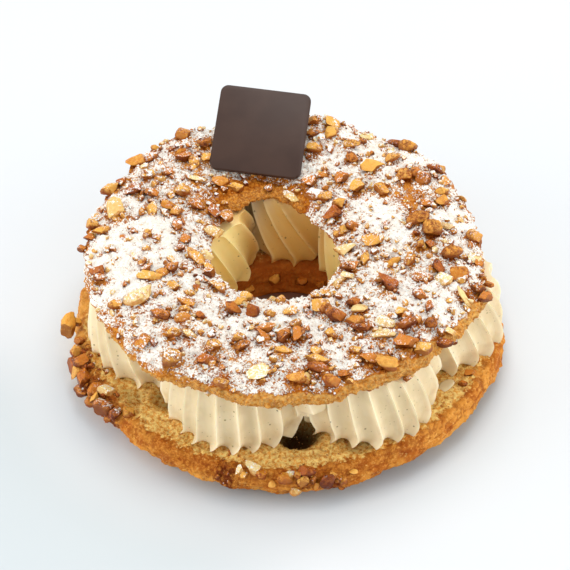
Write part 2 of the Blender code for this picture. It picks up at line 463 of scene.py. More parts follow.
def paint_base(bench):
    """The skin outside, and the crumb where the points' "cut" says that the knife went through."""
    place = object_place(bench)
    ragged = (bench.noise(place, 1.9, 4, 0.65) - 0.5) * 2.2
    cut = bench.step(painted_on(bench, "cut") + ragged, 0.30, 0.60)
    height = bench.split(place)[2]
    crumbly = bench.step(height + ragged * 1.2 * MM, 2.4 * MM, 1.0 * MM)
    crust = bench.blend(crumbly * 0.7, crust_colour(bench, place), CRUST_GOLD)
    colour = bench.blend(cut, crust, crumb_colour(bench, place))
    # the wall of the hole is painted a darker brown, partly as painted shade
    colour = bench.blend(painted_on(bench, "inside") * 0.8, colour, HOLE_WALL_SHADE)
    # painted shade in the deep hollows of the cut face
    colour = bench.blend(painted_on(bench, "pit") * 0.95, colour, HOLLOW_SHADE)
    grain = bench.noise(place, 0.5, 4, 0.65)
    return {
        "Base Color": colour,
        "Roughness": 0.5 + cut * 0.35,
        "Normal": bench.bump(grain, 0.9, 0.40),
    }


base_finish = new_finish("baked_choux", {"Specular IOR Level": 0.09}, paint_base)

# %% The lid's crust under powdered sugar
SUGAR = tone(255, 255, 249)
SUGAR_SHADE = tone(255, 244, 231)
SUGAR_PINHOLE = tone(160, 100, 64)  # crust that shows between the grains
BROWN_CRUMB = tone(212, 138, 50)


def powder(bench, place, amount):
    """Where powdered sugar covers the surface, 0 to 1: grains that close up as the amount grows."""
    drift = bench.noise(place, 2.2, 3, 0.6) - 0.5
    grains = bench.noise(place, 0.66, 4, 0.75) - 0.5
    amount = bench.maths("MINIMUM", amount, 0.92)
    return bench.step(amount * 0.5 + drift * 0.75 + grains * 1.5, 0.16, 0.31) * bench.step(amount, 0.02, 0.2)


def paint_lid(bench):
    """The skin, the torn crumb and the sugar over both."""
    place = object_place(bench)
    torn = painted_on(bench, "torn")
    crust = crust_colour(bench, place)
    edge = bench.step(torn + (bench.noise(place, 1.4, 3) - 0.5) * 0.8, 0.35, 0.65)
    # the crumb is browner where it is toasted, and on the slope behind the hole also as painted shade under
    # the plaque
    toast_and_shade = bench.step(painted_on(bench, "toasted"), 0.3, 1.0, 0.3, 0.8)
    grit = bench.step(bench.noise(place, 0.8, 4, 0.7), 0.44, 0.58)
    brown_crumb = bench.blend(grit, TOASTED_BROWN, BROWN_CRUMB)
    crumb = bench.blend(toast_and_shade, crumb_colour(bench, place), brown_crumb)
    crust = bench.blend(edge * 0.7, crust, crumb)
    landing = bench.step(facing_up(bench), 0.05, 0.55)
    cover = powder(bench, place, painted_on(bench, "sugar") * landing)
    clumps = bench.step(bench.noise(place, 1.1, 3, 0.65), 0.40, 0.58)
    white = bench.blend(clumps, SUGAR_SHADE, SUGAR)
    pinholes = bench.step(bench.noise(place, 0.42, 2, 0.6), 0.60, 0.68)
    white = bench.blend(pinholes * 0.5, white, SUGAR_PINHOLE)
    grain = bench.noise(place, 0.5, 3, 0.7)
    return {
        "Base Color": bench.blend(cover, crust, white),
        "Roughness": 0.45 + cover * 0.45,
        "Normal": bench.bump(grain + cover * 0.6, 0.75, 0.30),
    }


lid_finish = new_finish("sugared_choux", {"Specular IOR Level": 0.03}, paint_lid)

# %% Praline cream
CREAM = tone(224, 203, 161)
CREAM_LIGHT = tone(235, 216, 176)
# painted highlight on the crests and painted shade in the flutes
CREAM_CREST_HIGHLIGHT = tone(253, 240, 206)
CREAM_FLUTE_SHADE = tone(204, 178, 132)
# the cream in the hole is painted warmer and darker: painted shade, and the light that comes off the crust
# there; the back of the hole gets more painted shade, and the crests there a painted highlight
CREAM_HOLE_SHADE = tone(255, 228, 148)
CREAM_HOLE_BACK_SHADE = tone(212, 158, 74)
CREAM_HOLE_CREST_HIGHLIGHT = tone(255, 240, 190)
SPECK_BROWN = tone(96, 70, 38)
SPECK_OLIVE = tone(128, 112, 44)


def specks(bench, place, spacing, radius, share):
    """Small round specks of ground nut skin, of this radius in millimetres, in the middles of this share of
    the cells; and a number of its own for each."""
    cell = bench.cells(place, spacing)
    picked = bench.node("ShaderNodeSeparateColor", sockets={0: cell.output("Color")})
    chosen = bench.step(picked, 1 - share, 1 - share + 0.02)
    inside = bench.step(cell, radius / spacing, radius / spacing * 0.45)
    return chosen * inside, picked.output("Green")


def paint_cream(bench):
    """Painted highlights on the crests and painted shade in the flutes, warmer and darker painted shade in
    the hole, with specks of nut all through.
    """
    place = object_place(bench)
    body = bench.blend(bench.step(bench.noise(place, 7, 2), 0.35, 0.65), CREAM, CREAM_LIGHT)
    # painted highlight along the crests, and painted shade in the flutes
    body = bench.blend(painted_on(bench, "crest") * 0.85, body, CREAM_CREST_HIGHLIGHT)
    body = bench.blend(painted_on(bench, "hollow") * 0.35, body, CREAM_FLUTE_SHADE)
    # painted shade in the hole, warmed by the light that comes off the crust
    sheltered = painted_on(bench, "sheltered")
    body = bench.blend(sheltered * 0.85, body, CREAM_HOLE_SHADE)
    # the back of the hole, under the lid's overhang, gets more painted shade
    at_back = bench.step(bench.split(place)[1], 13 * MM, 21 * MM)
    body = bench.blend(sheltered * at_back * 0.75, body, CREAM_HOLE_BACK_SHADE)
    # and a painted highlight on the crests in the hole
    body = bench.blend(sheltered * painted_on(bench, "crest") * 0.5, body, CREAM_HOLE_CREST_HIGHLIGHT)
    large, hue = specks(bench, place, 2.4, 0.40, 0.40)
    small, _ = specks(bench, place, 1.3, 0.26, 0.45)
    olive = bench.blend(bench.step(hue, 0.45, 0.55), SPECK_BROWN, SPECK_OLIVE)
    colour = bench.blend(large * 0.7, body, olive)
    colour = bench.blend(small * 0.35, colour, SPECK_BROWN)
    ripple = bench.noise(bench.vector("MULTIPLY", place, (0.5, 0.5, 1.6)), 1.2, 3, 0.55)
    return {"Base Color": colour, "Normal": bench.bump(ripple, 0.25, 0.22)}


cream_fixed = {
    "Roughness": 0.46,
    "Specular IOR Level": 0.4,
    "Subsurface Weight": 0.25,
    "Subsurface Radius": (1.0, 0.62, 0.28),
    "Subsurface Scale": 1.6 * MM,
}
cream_finish = new_finish("praline_cream", cream_fixed, paint_cream)

# %% Nuts, in four toasts
# flesh, toasted flesh, skin
NUT_TONES = {
    "amber": (tone(242, 182, 84), tone(204, 122, 34), tone(138, 62, 8)),
    "toasted": (tone(212, 130, 44), tone(164, 80, 18), tone(96, 36, 4)),
    "almond": (tone(244, 218, 152), tone(232, 186, 106), tone(200, 134, 60)),
    "hazel": (tone(240, 172, 70), tone(206, 126, 40), tone(126, 58, 10)),
}


def nut_painter(flesh, toasted, skin):
    """The painter of one kind of nut, from its three tones."""

    def paint_nut(bench):
        place = object_place(bench)
        mottle = bench.noise(place, 1.1, 4, 0.75) - 0.5
        tint = painted_on(bench, "tint") * 0.7 + mottle * 1.6
        colour = bench.blend(bench.step(tint, 0.1, 0.8), flesh, toasted)
        skinned = bench.step(painted_on(bench, "skin") * 0.7 + mottle * 2.0, 0.40, 1.05)
        colour = bench.blend(skinned, colour, skin)
        # what faces sideways or down is painted darker: painted shade round each nut's foot
        foot = bench.step(facing_up(bench) + mottle * 0.8, 0.75, 0.05)
        colour = bench.blend(foot * 0.85, colour, skin)
        up = bench.step(facing_up(bench), 0.2, 0.9)
        cover = powder(bench, place, painted_on(bench, "dust") * 0.65 * up)
        grain = bench.noise(place, 1.0, 4, 0.7)
        return {
            "Base Color": bench.blend(cover, colour, SUGAR),
            "Roughness": 0.26 + cover * 0.4,
            "Normal": bench.bump(grain, 1.0, 0.45),
        }

    return paint_nut


nut_fixed = {"Specular IOR Level": 0.26, "Subsurface Weight": 0.15, "Subsurface Scale": 0.8 * MM}
nut_finishes = {
    kind: new_finish(f"{kind}_nut", nut_fixed, nut_painter(*tones))
    for kind, tones in NUT_TONES.items()
}


# %% Sugar grains, crumbs, chocolate and the table
LOOSE_CRUMB_GOLD = tone(230, 182, 104)
LOOSE_CRUMB_BROWN = tone(174, 104, 42)
CHOCOLATE = tone(66, 45, 36)
CHOCOLATE_DARK = tone(58, 38, 30)
TABLE_WHITE = tone(223, 226, 229)
TABLE_CLOUD = tone(221, 224, 227)
TABLE_DIM = tone(204, 211, 214)
# painted shade round the ring and a painted shadow close to its foot
TABLE_RING_SHADE = tone(216, 230, 237)  # round the ring
TABLE_FOOT_SHADOW = tone(156, 168, 174)  # close to the ring's foot
# painted shade and a painted reflection on the table in the ring's hole
TABLE_HOLE_SHADE = tone(122, 70, 38)


def paint_grain(bench):
    place = object_place(bench)
    return {"Base Color": bench.blend(bench.noise(place, 0.6), SUGAR_SHADE, SUGAR)}


def paint_crumbs(bench):
    tint = painted_on(bench, "tint")
    colour = bench.blend(tint, LOOSE_CRUMB_GOLD, LOOSE_CRUMB_BROWN)
    return {"Base Color": colour}


def paint_chocolate(bench):
    place = object_place(bench)
    cloud = bench.step(bench.noise(place, 11, 3), 0.35, 0.7)
    colour = bench.blend(cloud, CHOCOLATE, CHOCOLATE_DARK)
    smear = bench.noise(bench.vector("MULTIPLY", place, (0.3, 1.0, 1.0)), 2.5, 4, 0.6)
    return {
        "Base Color": colour,
        "Roughness": 0.34 + smear * 0.14,
        "Normal": bench.bump(bench.noise(place, 1.8, 3), 0.12, 0.08),
    }


def paint_table(bench):
    place = object_place(bench)
    cloud = bench.noise(place, 60, 2)
    white = bench.blend(cloud, TABLE_CLOUD, TABLE_WHITE)
    x, y, _ = bench.split(place)
    outwards = bench.maths("SQRT", x * x + y * y)
    # the window stands behind and to the right, so the table is dimmer to the left and in front
    dimmer = bench.step((x + y) * -0.7071 / outwards, 0.6, 0.92) * bench.step(outwards, 190 * MM, 130 * MM)
    dimmer = dimmer * bench.step(outwards, 66 * MM, 92 * MM, 0.0, 1.0)
    white = bench.blend(dimmer, white, TABLE_DIM)
    # painted shade round the ring and a painted shadow close to its foot, except at the left; they stand also
    #     for the ring's dim mirror image in a glossy table
    white = bench.blend(bench.step(outwards, 86 * MM, 62 * MM) * 0.35, white, TABLE_RING_SHADE)
    foot_shadow = bench.step(outwards, 69 * MM, 61 * MM) * bench.step(x, -50 * MM, -10 * MM)
    white = bench.blend(foot_shadow * 0.6, white, TABLE_FOOT_SHADOW)
    # and in the ring's hole, painted shade and a painted reflection of the brown wall, strongest close to the
    #     wall's foot
    hole_shade = bench.step(outwards, 27 * MM, 22 * MM) * bench.step(outwards, 6 * MM, 19 * MM, 0.2, 0.9)
    return {"Base Color": bench.blend(hole_shade, white, TABLE_HOLE_SHADE)}


grain_finish = new_finish("sugar_grains", {"Roughness": 0.6, "Specular IOR Level": 0.5}, paint_grain)
crumb_finish = new_finish("choux_crumbs", {"Roughness": 0.5}, paint_crumbs)
chocolate_finish = new_finish("dark_chocolate", {"Specular IOR Level": 0.32}, paint_chocolate)
table_finish = new_finish("white_table", {"Roughness": 0.7, "Specular IOR Level": 0.2}, paint_table)

# %% The table
TABLE_SIDE = 3.0


def lay_table():
    """A flat sheet, a hair below the pastry's foot."""
    bm = bmesh.new()
    bmesh.ops.create_grid(bm, x_segments=8, y_segments=8, size=TABLE_SIDE / 2)
    mesh = bpy.data.meshes.new("table")
    bm.to_mesh(mesh)
    bm.free()
    mesh.transform(Matrix.Translation((0, 0, cad_low[2] - 0.02 * MM)))
    mesh.materials.append(table_finish)
    made = bpy.data.objects.new("table", mesh)
    bpy.context.collection.objects.link(made)
    return made


lay_table()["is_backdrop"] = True
print(f"a table {TABLE_SIDE:.0f} m wide, which is only the stage")

# %% [markdown]
# ## How Geometry Nodes are used here
# Ridges, nuts, grains and crumbs all repeat, and a tree that repeats them can be tuned by its inputs alone.
# Each tree below is built once with named inputs; running it gives a plain mesh, so nothing stays live.


# %% Building and running a tree
def geometry_bench(name, inputs, takes_mesh=False):
    """A Geometry Nodes tree with these named inputs, each a label and a kind of socket."""
    tree = bpy.data.node_groups.new(name, "GeometryNodeTree")
    rows = [("Mesh", "NodeSocketGeometry")] * takes_mesh + [
        (label, f"NodeSocket{kind}") for label, kind in inputs
    ]
    for label, kind in rows:
        tree.interface.new_socket(label, in_out="INPUT", socket_type=kind)
    tree.interface.new_socket("Mesh", in_out="OUTPUT", socket_type="NodeSocketGeometry")
    bench = Bench(tree)
    start = tree.nodes.new("NodeGroupInput")
    bench.given = {socket.name: Wire(bench, socket) for socket in start.outputs if socket.name}
    return bench


def deliver(bench, mesh):
    """The tree's last nodes: real geometry that rests on the table, in its finish."""
    real = bench.node("GeometryNodeRealizeInstances", sockets={"Geometry": mesh})
    x, y, z = bench.split(bench.node("GeometryNodeInputPosition"))
    resting = bench.join(x, y, bench.maths("MAXIMUM", z, cad_low[2]))
    real = bench.node("GeometryNodeSetPosition", sockets={"Geometry": real, "Position": resting})
    sockets = {"Geometry": real, "Material": bench.given["Finish"]}
    dressed = bench.node("GeometryNodeSetMaterial", sockets=sockets)
    end = bench.tree.nodes.new("NodeGroupOutput")
    bench.plug(dressed, end.inputs[0])
    print(f"{bench.tree.name}: {len(bench.tree.nodes)} nodes")
    return bench.tree


def run_tree(name, tree, values, start=None):
    """The plain mesh object that a tree makes; a modifier's inputs go by their sockets' identifiers."""
    made = bpy.data.objects.new(name, start or bpy.data.meshes.new(name))
    bpy.context.collection.objects.link(made)
    modifier = made.modifiers.new("tree", "NODES")
    modifier.node_group = tree
    for item in tree.interface.items_tree:
        if item.item_type == "SOCKET" and item.in_out == "INPUT" and item.name in values:
            modifier[item.identifier] = values[item.name]
    graph = bpy.context.evaluated_depsgraph_get()
    whole = made.evaluated_get(graph)
    mesh = bpy.data.meshes.new_from_object(whole, preserve_all_data_layers=True, depsgraph=graph)
    made.modifiers.clear()
    made.data = mesh
    mesh.name = name
    print(f"{name}: {len(mesh.vertices)} points, {len(mesh.polygons)} faces")
    return made


def keep(piece, slot, *nodes):
    """The piece rides with the pastry and stands for its solids, which are hidden; the slot is not used."""
    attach(piece, "root")
    if nodes:
        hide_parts(*nodes)
    return piece


# %% [markdown]
# ## Lofted rings
# The base and the lid are both a closed section carried round the ring. The section's few points are joined
# by a smooth curve, and every bearing gets its own section, so that the outline can wander.


# %% A smooth closed section, carried round
def smooth_closed(controls, steps):
    """Points on a smooth closed curve through the controls, which are rows of (bearings, 2), with the
    given number of steps after each control."""
    count = len(controls)
    ways = [controls[(i + 1) % count] - controls[i] for i in range(count)]
    spans = [np.maximum(np.linalg.norm(way, axis=-1, keepdims=True), 1e-6) for way in ways]
    turns = [(ways[i - 1] / spans[i - 1] + ways[i] / spans[i]) / 2 for i in range(count)]
    rows = []
    for i in range(count):
        after = (i + 1) % count
        for step in range(steps[i]):
            t = step / steps[i]
            rows.append(
                (1 + 2 * t) * (1 - t) ** 2 * controls[i]
                + t * (1 - t) ** 2 * turns[i] * spans[i]
                + t * t * (3 - 2 * t) * controls[after]
                + t * t * (t - 1) * turns[after] * spans[i]
            )
    return np.array(rows)


def ring_mesh(name, section, bearings):
    """A closed ring from its sections in millimetres, as rows of (section, bearings, radius and height)."""
    angle = np.radians(bearings)
    radius, height = section[..., 0], section[..., 1]
    points = np.stack([radius * np.sin(angle), -radius * np.cos(angle), height], axis=-1) * MM
    rows, columns = radius.shape
    row, column = np.meshgrid(np.arange(rows), np.arange(columns), indexing="ij")
    beyond, after = (row + 1) % rows, (column + 1) % columns
    corners = [
        row * columns + column,
        row * columns + after,
        beyond * columns + after,
        beyond * columns + column,
    ]
    quads = np.stack(corners, axis=-1).reshape(-1, 4)
    mesh = bpy.data.meshes.new(name)
    mesh.from_pydata(points.reshape(-1, 3).tolist(), [], quads.tolist())
    mesh.shade_smooth()
    return mesh


def paint_points(mesh, name, values):
    """Stores a number on every point of a mesh."""
    layer = mesh.attributes.new(name, "FLOAT", "POINT")
    layer.data.foreach_set("value", np.asarray(values, np.float32).reshape(-1))


def soft(value, low, high):
    """A soft step from 0 at low to 1 at high."""
    share = np.clip((value - low) / (high - low), 0, 1)
    return share * share * (3 - 2 * share)


# %% [markdown]
# ## Relief
# Baking lifts the skin in lumps, folds it in flat wrinkles and leaves pores where it is cut. Displacing every
# point along its normal by noise of several sizes does it; the tree takes the sizes and heights as inputs,
# and reads from the points how free the surface is to move, so that it stays put where something rests on it.
# The points keep how far they rose, because the finish paints shade into the cracks.


# %% The relief tree
def relief_tree():
    """Displaces a mesh by lumps, folds, crumb and pores."""
    inputs = [
        (label, "Float")
        for label in (
            "Lump size", "Lump height", "Wrinkle size", "Wrinkle height",
            "Crumb size", "Crumb height", "Pore size", "Pore depth",
        )
    ]
    bench = geometry_bench("relief", [*inputs, ("Seed", "Float"), ("Finish", "Material")], takes_mesh=True)
    given = bench.given
    place = bench.node("GeometryNodeInputPosition")
    place = bench.vector("ADD", place, bench.join(given["Seed"], 0, 0))
    normal = bench.node("GeometryNodeInputNormal")
    free = bench.node("GeometryNodeInputNamedAttribute", sockets={"Name": "free"})
    cut = bench.node("GeometryNodeInputNamedAttribute", sockets={"Name": "cut"})
    lift = bench.node("GeometryNodeInputNamedAttribute", sockets={"Name": "lift"})

    def rough(where, size, detail):
        sockets = {"Vector": where, "Scale": 1 / size, "Detail": detail, "Roughness": 0.58}
        return bench.node("ShaderNodeTexNoise", sockets=sockets)

    lumps = (rough(place, given["Lump size"], 2.0) - 0.5) * given["Lump height"]
    # stretched level with the table, so that the folds run round the ring; folded about its middle value,
    # the noise gives rounded swellings with a sharp crack between them
    folds = rough(bench.vector("MULTIPLY", place, (0.45, 0.45, 1.5)), given["Wrinkle size"], 3.0)
    folds = bench.maths("MINIMUM", bench.maths("ABSOLUTE", folds - 0.5) * 5.0, 1.0)
    rise = bench.node(
        "GeometryNodeStoreNamedAttribute",
        {"data_type": "FLOAT", "domain": "POINT"},
        {"Geometry": given["Mesh"], "Name": "rise", "Value": folds},
    )
    offset = bench.scaled(normal, (lumps + (folds - 0.5) * given["Wrinkle height"]) * free + lift)
    moved = bench.node("GeometryNodeSetPosition", sockets={"Geometry": rise, "Offset": offset})
    fine = (rough(place, given["Crumb size"], 3.0) - 0.5) * given["Crumb height"]
    sockets = {"Vector": place, "Scale": 1 / given["Pore size"]}
    pores = bench.node("ShaderNodeTexVoronoi", sockets=sockets)
    pit = bench.step(pores, 0.55, 0.10) * given["Pore depth"] * cut
    offset = bench.scaled(normal, fine * (free + cut * 0.4) - pit)
    moved = bench.node("GeometryNodeSetPosition", sockets={"Geometry": moved, "Offset": offset})
    return deliver(bench, moved)


relief = relief_tree()

# %% [markdown]
# ## The base
# The base is the lower half of the baked ring: a brown skin outside, and the open crumb where the knife went
# through. One lofted section gives both, with a number on its points that says which is which.

# %% Baking the base
BASE_AROUND = 720  # points round the ring


def base_section(bearing):
    """The base's section from the hole's foot outwards: radius and height in millimetres, the kind of
    surface, and steps to the next point."""
    outer = base_outer(bearing)
    hole = BASE_HOLE + 0.0 * bearing
    cut = CUT / MM
    return [
        (hole - 0.4, 0.1, "inside", 8),
        (0.5 * (hole + outer), 0, "", 4),
        (outer - 6.8, 0, "", 5),
        (outer - 3.9, 0.9, "", 6),
        (outer - 1.7, 2.8, "", 6),
        (outer, 5.4, "", 6),
        (outer - 0.3, 8.0, "", 6),
        (outer - 2.3, cut - 0.2, "", 8),
        (outer - 6.0, cut - 0.1, "cut", 16),
        (outer - 15.0, cut - 0.1, "cut", 12),
        (hole + 12.0, cut - 0.1, "cut", 12),
        (hole + 2.2, cut - 0.1, "inside", 4),
        (hole + 0.8, 8.6, "inside", 10),
        (hole + 0.1, 4.0, "inside", 8),
    ]


# bearing, height, size in millimetres, lift in millimetres: where caramel and nuts ran together and stuck
CARAMEL_LUMPS = (
    (-76, 8.0, 4.0, 0.8), (-70, 8.5, 4.5, 1.6), (-64, 8.0, 4.0, 1.3), (-57, 7.5, 3.5, 1.2),
    (-53, 5.0, 3.0, 0.9), (4, 8.0, 3.0, 0.5), (12, 5.0, 3.2, 0.7), (-16, 7.0, 4.5, 0.2),
)
# the same four numbers: where the plain skin bulges
SKIN_LUMPS = (
    (-2, 2.2, 2.4, 0.7), (-14, 2.2, 3.2, 0.4), (15, 2.2, 3.0, 0.4), (33, 2.4, 4.0, 0.5),
    (76, 10.2, 4.5, 1.3), (84, 10.5, 3.5, 0.9), (66, 9.5, 3.5, 0.5),
)
# to the right, to the back, radius, depth: hollows in the cut face
HOLLOWS = ((2.6, -44.6, 6.2, 6.5), (-34.5, -33.0, 4.5, 1.5), (-44.5, -33.0, 4.0, 0.9), (20, -50, 5, 0.9))


def bake_base():
    """Lofts the base, marks its kinds of surface on its points and roughens it."""
    bearings = np.arange(BASE_AROUND) * 360 / BASE_AROUND
    rows = base_section(bearings)
    controls = [np.stack([r + 0 * bearings, z + 0 * bearings], axis=-1) for r, z, _, _ in rows]
    steps = [count for _, _, _, count in rows]
    mesh = ring_mesh("base", smooth_closed(controls, steps), bearings)

    def spread(kind):
        """A number on every point: 1 where the section is of this kind, going over to 0 beside it."""
        marks = [float(mark == kind) for _, _, mark, _ in rows]
        ends = marks[1:] + marks[:1]
        values = []
        for one, other, count in zip(marks, ends, steps):
            values += [one + (other - one) * step / count for step in range(count)]
        return np.repeat(np.array(values)[:, None], BASE_AROUND, axis=1)

    cut, inside = spread("cut"), spread("inside")
    points = np.array([point.co for point in mesh.vertices]).reshape(*cut.shape, 3) / MM
    x, y, height = points[..., 0], points[..., 1], points[..., 2]
    side = soft(np.hypot(x, y), 52, 58)  # 1 on the outside, 0 towards the hole
    caramel, lift = 0 * x, 0 * x
    for bearing, level, size, more in CARAMEL_LUMPS:
        across = np.radians(away(bearings, bearing)) * BASE_RADIUS + 0 * x
        near = np.exp(-(across**2 + (height - level) ** 2) / size**2) * side
        caramel, lift = np.maximum(caramel, near), lift + near * more
    for bearing, level, size, more in SKIN_LUMPS:
        across = np.radians(away(bearings, bearing)) * BASE_RADIUS + 0 * x
        near = np.exp(-(across**2 + (height - level) ** 2) / size**2) * side
        lift = lift + near * more * soft(height, 0.2, 1.2)
    pit = 0 * x
    for right, back, radius, depth in HOLLOWS:
        near = np.exp(-((((x - right) ** 2 + (y - back) ** 2) / radius**2) ** 2)) * cut
        # the deeper a hollow, the more painted shade it gets
        pit, lift = np.maximum(pit, near * min(1, depth / 3)), lift - near * depth
    paint_points(mesh, "cut", cut)
    paint_points(mesh, "inside", inside)
    paint_points(mesh, "caramel", caramel)
    paint_points(mesh, "pit", pit)
    # the side is paler at the far left and at the right
    left = np.exp(-((away(bearings, -88) / 30) ** 2)) * side
    right = np.exp(-((away(bearings, 62) / 30) ** 2)) * side
    paint_points(mesh, "toasted", 0.15 + 0.4 * soft(height, 3.5, 8.5) * side - 0.8 * left - 0.5 * right)
    paint_points(mesh, "lift", lift * MM)
    paint_points(mesh, "free", soft(height, 0.0, 1.2) * (1 - 0.45 * cut))
    values = {
        "Lump size": 7.5 * MM,
        "Lump height": 2.2 * MM,
        "Wrinkle size": 3.2 * MM,
        "Wrinkle height": 1.0 * MM,
        "Crumb size": 1.2 * MM,
        "Crumb height": 0.9 * MM,
        "Pore size": 1.7 * MM,
        "Pore depth": 0.9 * MM,
        "Seed": 3.0,
        "Finish": base_finish,
    }
    return run_tree("base_crust", relief, values, mesh)


base_crust = keep(bake_base(), "baked_choux", "choux_base")

# %% [markdown]
# ## Where the large nuts lie
# The larger nuts are what one sees first, so each has a row of its own: millimetres to the right and to the
# back, length, width, the turn of its long side, and how much sugar lies on it. They come before the lid,
# because the crust rises round every nut that bakes into it and darkens there, as caramel and as painted
# shade.

# %% The large nuts on the lid
AMBER = (
    (-32, 48, 4.4, 4.0, 20, 0.2), (-46, 37, 5.6, 4.4, 20, 0.1), (-40, 44, 2.4, 2.2, 0, 0.1),
    (-52, 26, 5.0, 4.2, 10, 0.2), (-42, 29, 2.6, 1.8, 20, 0.4), (-40, 15, 5.0, 3.0, 85, 0.3),
    (-35, 17, 3.8, 2.6, -20, 0.2), (-33, 14, 3.6, 3.2, 40, 0.4), (-31, 24, 4.2, 4.0, 0, 0.4),
    (-28, 35, 4.2, 2.8, 90, 0.3), (-24, 37, 3.2, 2.6, 0, 0.3), (-20, 28.5, 5.2, 3.2, 0, 0.2),
    (-16, 28, 5.0, 3.0, 10, 0.2), (-18.5, 16, 4.8, 3.8, 30, 0.4), (-40, 3, 3.8, 2.4, 90, 0.4),
    (-38, 2, 2.6, 2.0, 0, 0.4), (-40.5, -2.5, 2.8, 2.2, 70, 0.4), (-26, -4.5, 6.6, 3.8, -35, 0.3),
    (-22.4, -7, 3.6, 2.0, 30, 0.3), (-54, 7, 5.2, 2.4, 20, 0.2), (-57, 11, 3.4, 3.0, 0, 0.2),
    (-41, -8.5, 3.0, 2.2, 60, 0.3), (-39, -14, 6.4, 3.0, -10, 0.2), (-35.5, -12, 3.6, 2.4, 10, 0.3),
    (-32.5, -17.5, 3.4, 2.8, 0, 0.5), (-20, -15.5, 5.0, 3.6, -20, 0.3), (-48, -24, 3.8, 2.8, 20, 0.3),
    (-28.5, -24, 4.6, 2.4, -25, 0.4), (-28.5, -27, 3.2, 2.6, 30, 0.3), (-29, -30.5, 4.4, 3.2, 15, 0.3),
    (-39.5, -38, 4.4, 3.4, 45, 0.3), (-32, -36.5, 4.6, 3.2, -30, 0.3), (-13.5, -38.5, 3.8, 3.0, 0, 0.4),
    (-20.5, -42, 4.2, 3.0, 10, 0.3), (-13, -22.5, 3.2, 2.4, 0, 0.2), (-11.5, -19.5, 3.8, 2.4, -40, 0.2),
    (-2, -21, 3.0, 2.6, 80, 0.2), (0.7, -27, 3.8, 3.0, -10, 0.5), (-5, -27.5, 3.2, 2.0, 0, 0.5),
    (-6.3, -34.5, 5.2, 3.0, 0, 0.3), (2.2, -33, 3.4, 2.8, 60, 0.4), (-1.2, -43, 4.2, 2.4, 0, 0.3),
    (9.6, -26, 4.6, 3.8, -10, 0.2), (19, -32, 4.6, 3.4, 10, 0.3), (12, -37, 3.2, 2.2, -20, 0.3),
    (8, -19.5, 3.2, 2.4, 0, 0.4), (11, -18.5, 3.6, 2.4, 20, 0.5), (8, -43.5, 3.6, 2.4, 10, 0.3),
    (8.3, -46.3, 6.6, 2.4, -15, 0.3), (2.2, -52.5, 5.2, 3.4, 10, 0.2), (11.6, -53, 4.6, 3.4, 0, 0.1),
    (18.5, -43, 3.0, 2.4, 0, 0.4), (-17.5, -53, 4.2, 3.0, 0, 0.2), (7.6, 51, 3.8, 3.2, 90, 0.1),
    (13, 50.5, 5.2, 3.8, 10, 0.3), (13, 46.5, 4.4, 3.2, 80, 0.1), (8, 41, 4.8, 3.0, 5, 0.2),
    (18, 42.5, 7.0, 2.6, -8, 0.2), (25.2, 31.5, 6.6, 3.6, -3, 0.05), (20.8, 24, 5.0, 4.0, 60, 0.2),
    (28, 23, 4.6, 3.2, -15, 0.2), (10.5, 31.5, 3.2, 2.6, 0, 0.3), (11.5, 22.5, 4.2, 3.0, 20, 0.3),
    (15.5, 18.3, 3.6, 3.2, 0, 0.05), (15.3, 7, 3.2, 2.8, 30, 0.2), (16.5, 8.5, 3.2, 2.6, 0, 0.3),
    (25, 2.5, 5.6, 3.8, 20, 0.3), (22, -6, 3.6, 2.6, 80, 0.3), (31.5, 35.5, 4.4, 3.0, 25, 0.2),
    (34.5, 27, 4.6, 3.6, -10, 0.05), (45.5, 33.5, 3.4, 2.8, 10, 0.1), (46.5, 27.5, 3.8, 2.6, 85, 0.4),
    (45.5, 22.5, 3.8, 2.6, 10, 0.1), (45, 18.5, 3.6, 3.2, 30, 0.1), (54, 4.5, 4.4, 3.8, 0, 0.2),
    (38, -1.5, 4.2, 2.2, 65, 0.1), (35, -7.5, 4.2, 3.0, 80, 0.3), (29.8, -7.5, 4.6, 2.2, 35, 0.05),
    (48.6, -12.5, 5.0, 4.0, 10, 0.1), (56.6, -11, 3.8, 2.2, -50, 0.1), (26.5, -14.5, 3.2, 2.6, 0, 0.3),
    (56.5, -17, 2.8, 2.2, 0, 0.1), (31.8, -28.5, 3.2, 2.6, 0, 0.2), (35.5, -31.5, 3.2, 2.4, 0, 0.3),
    (37, -40, 5.0, 3.8, 20, 0.2), (27, -46.3, 6.6, 3.8, 0, 0.05), (18.2, -43, 2.8, 2.2, 0, 0.3),
)
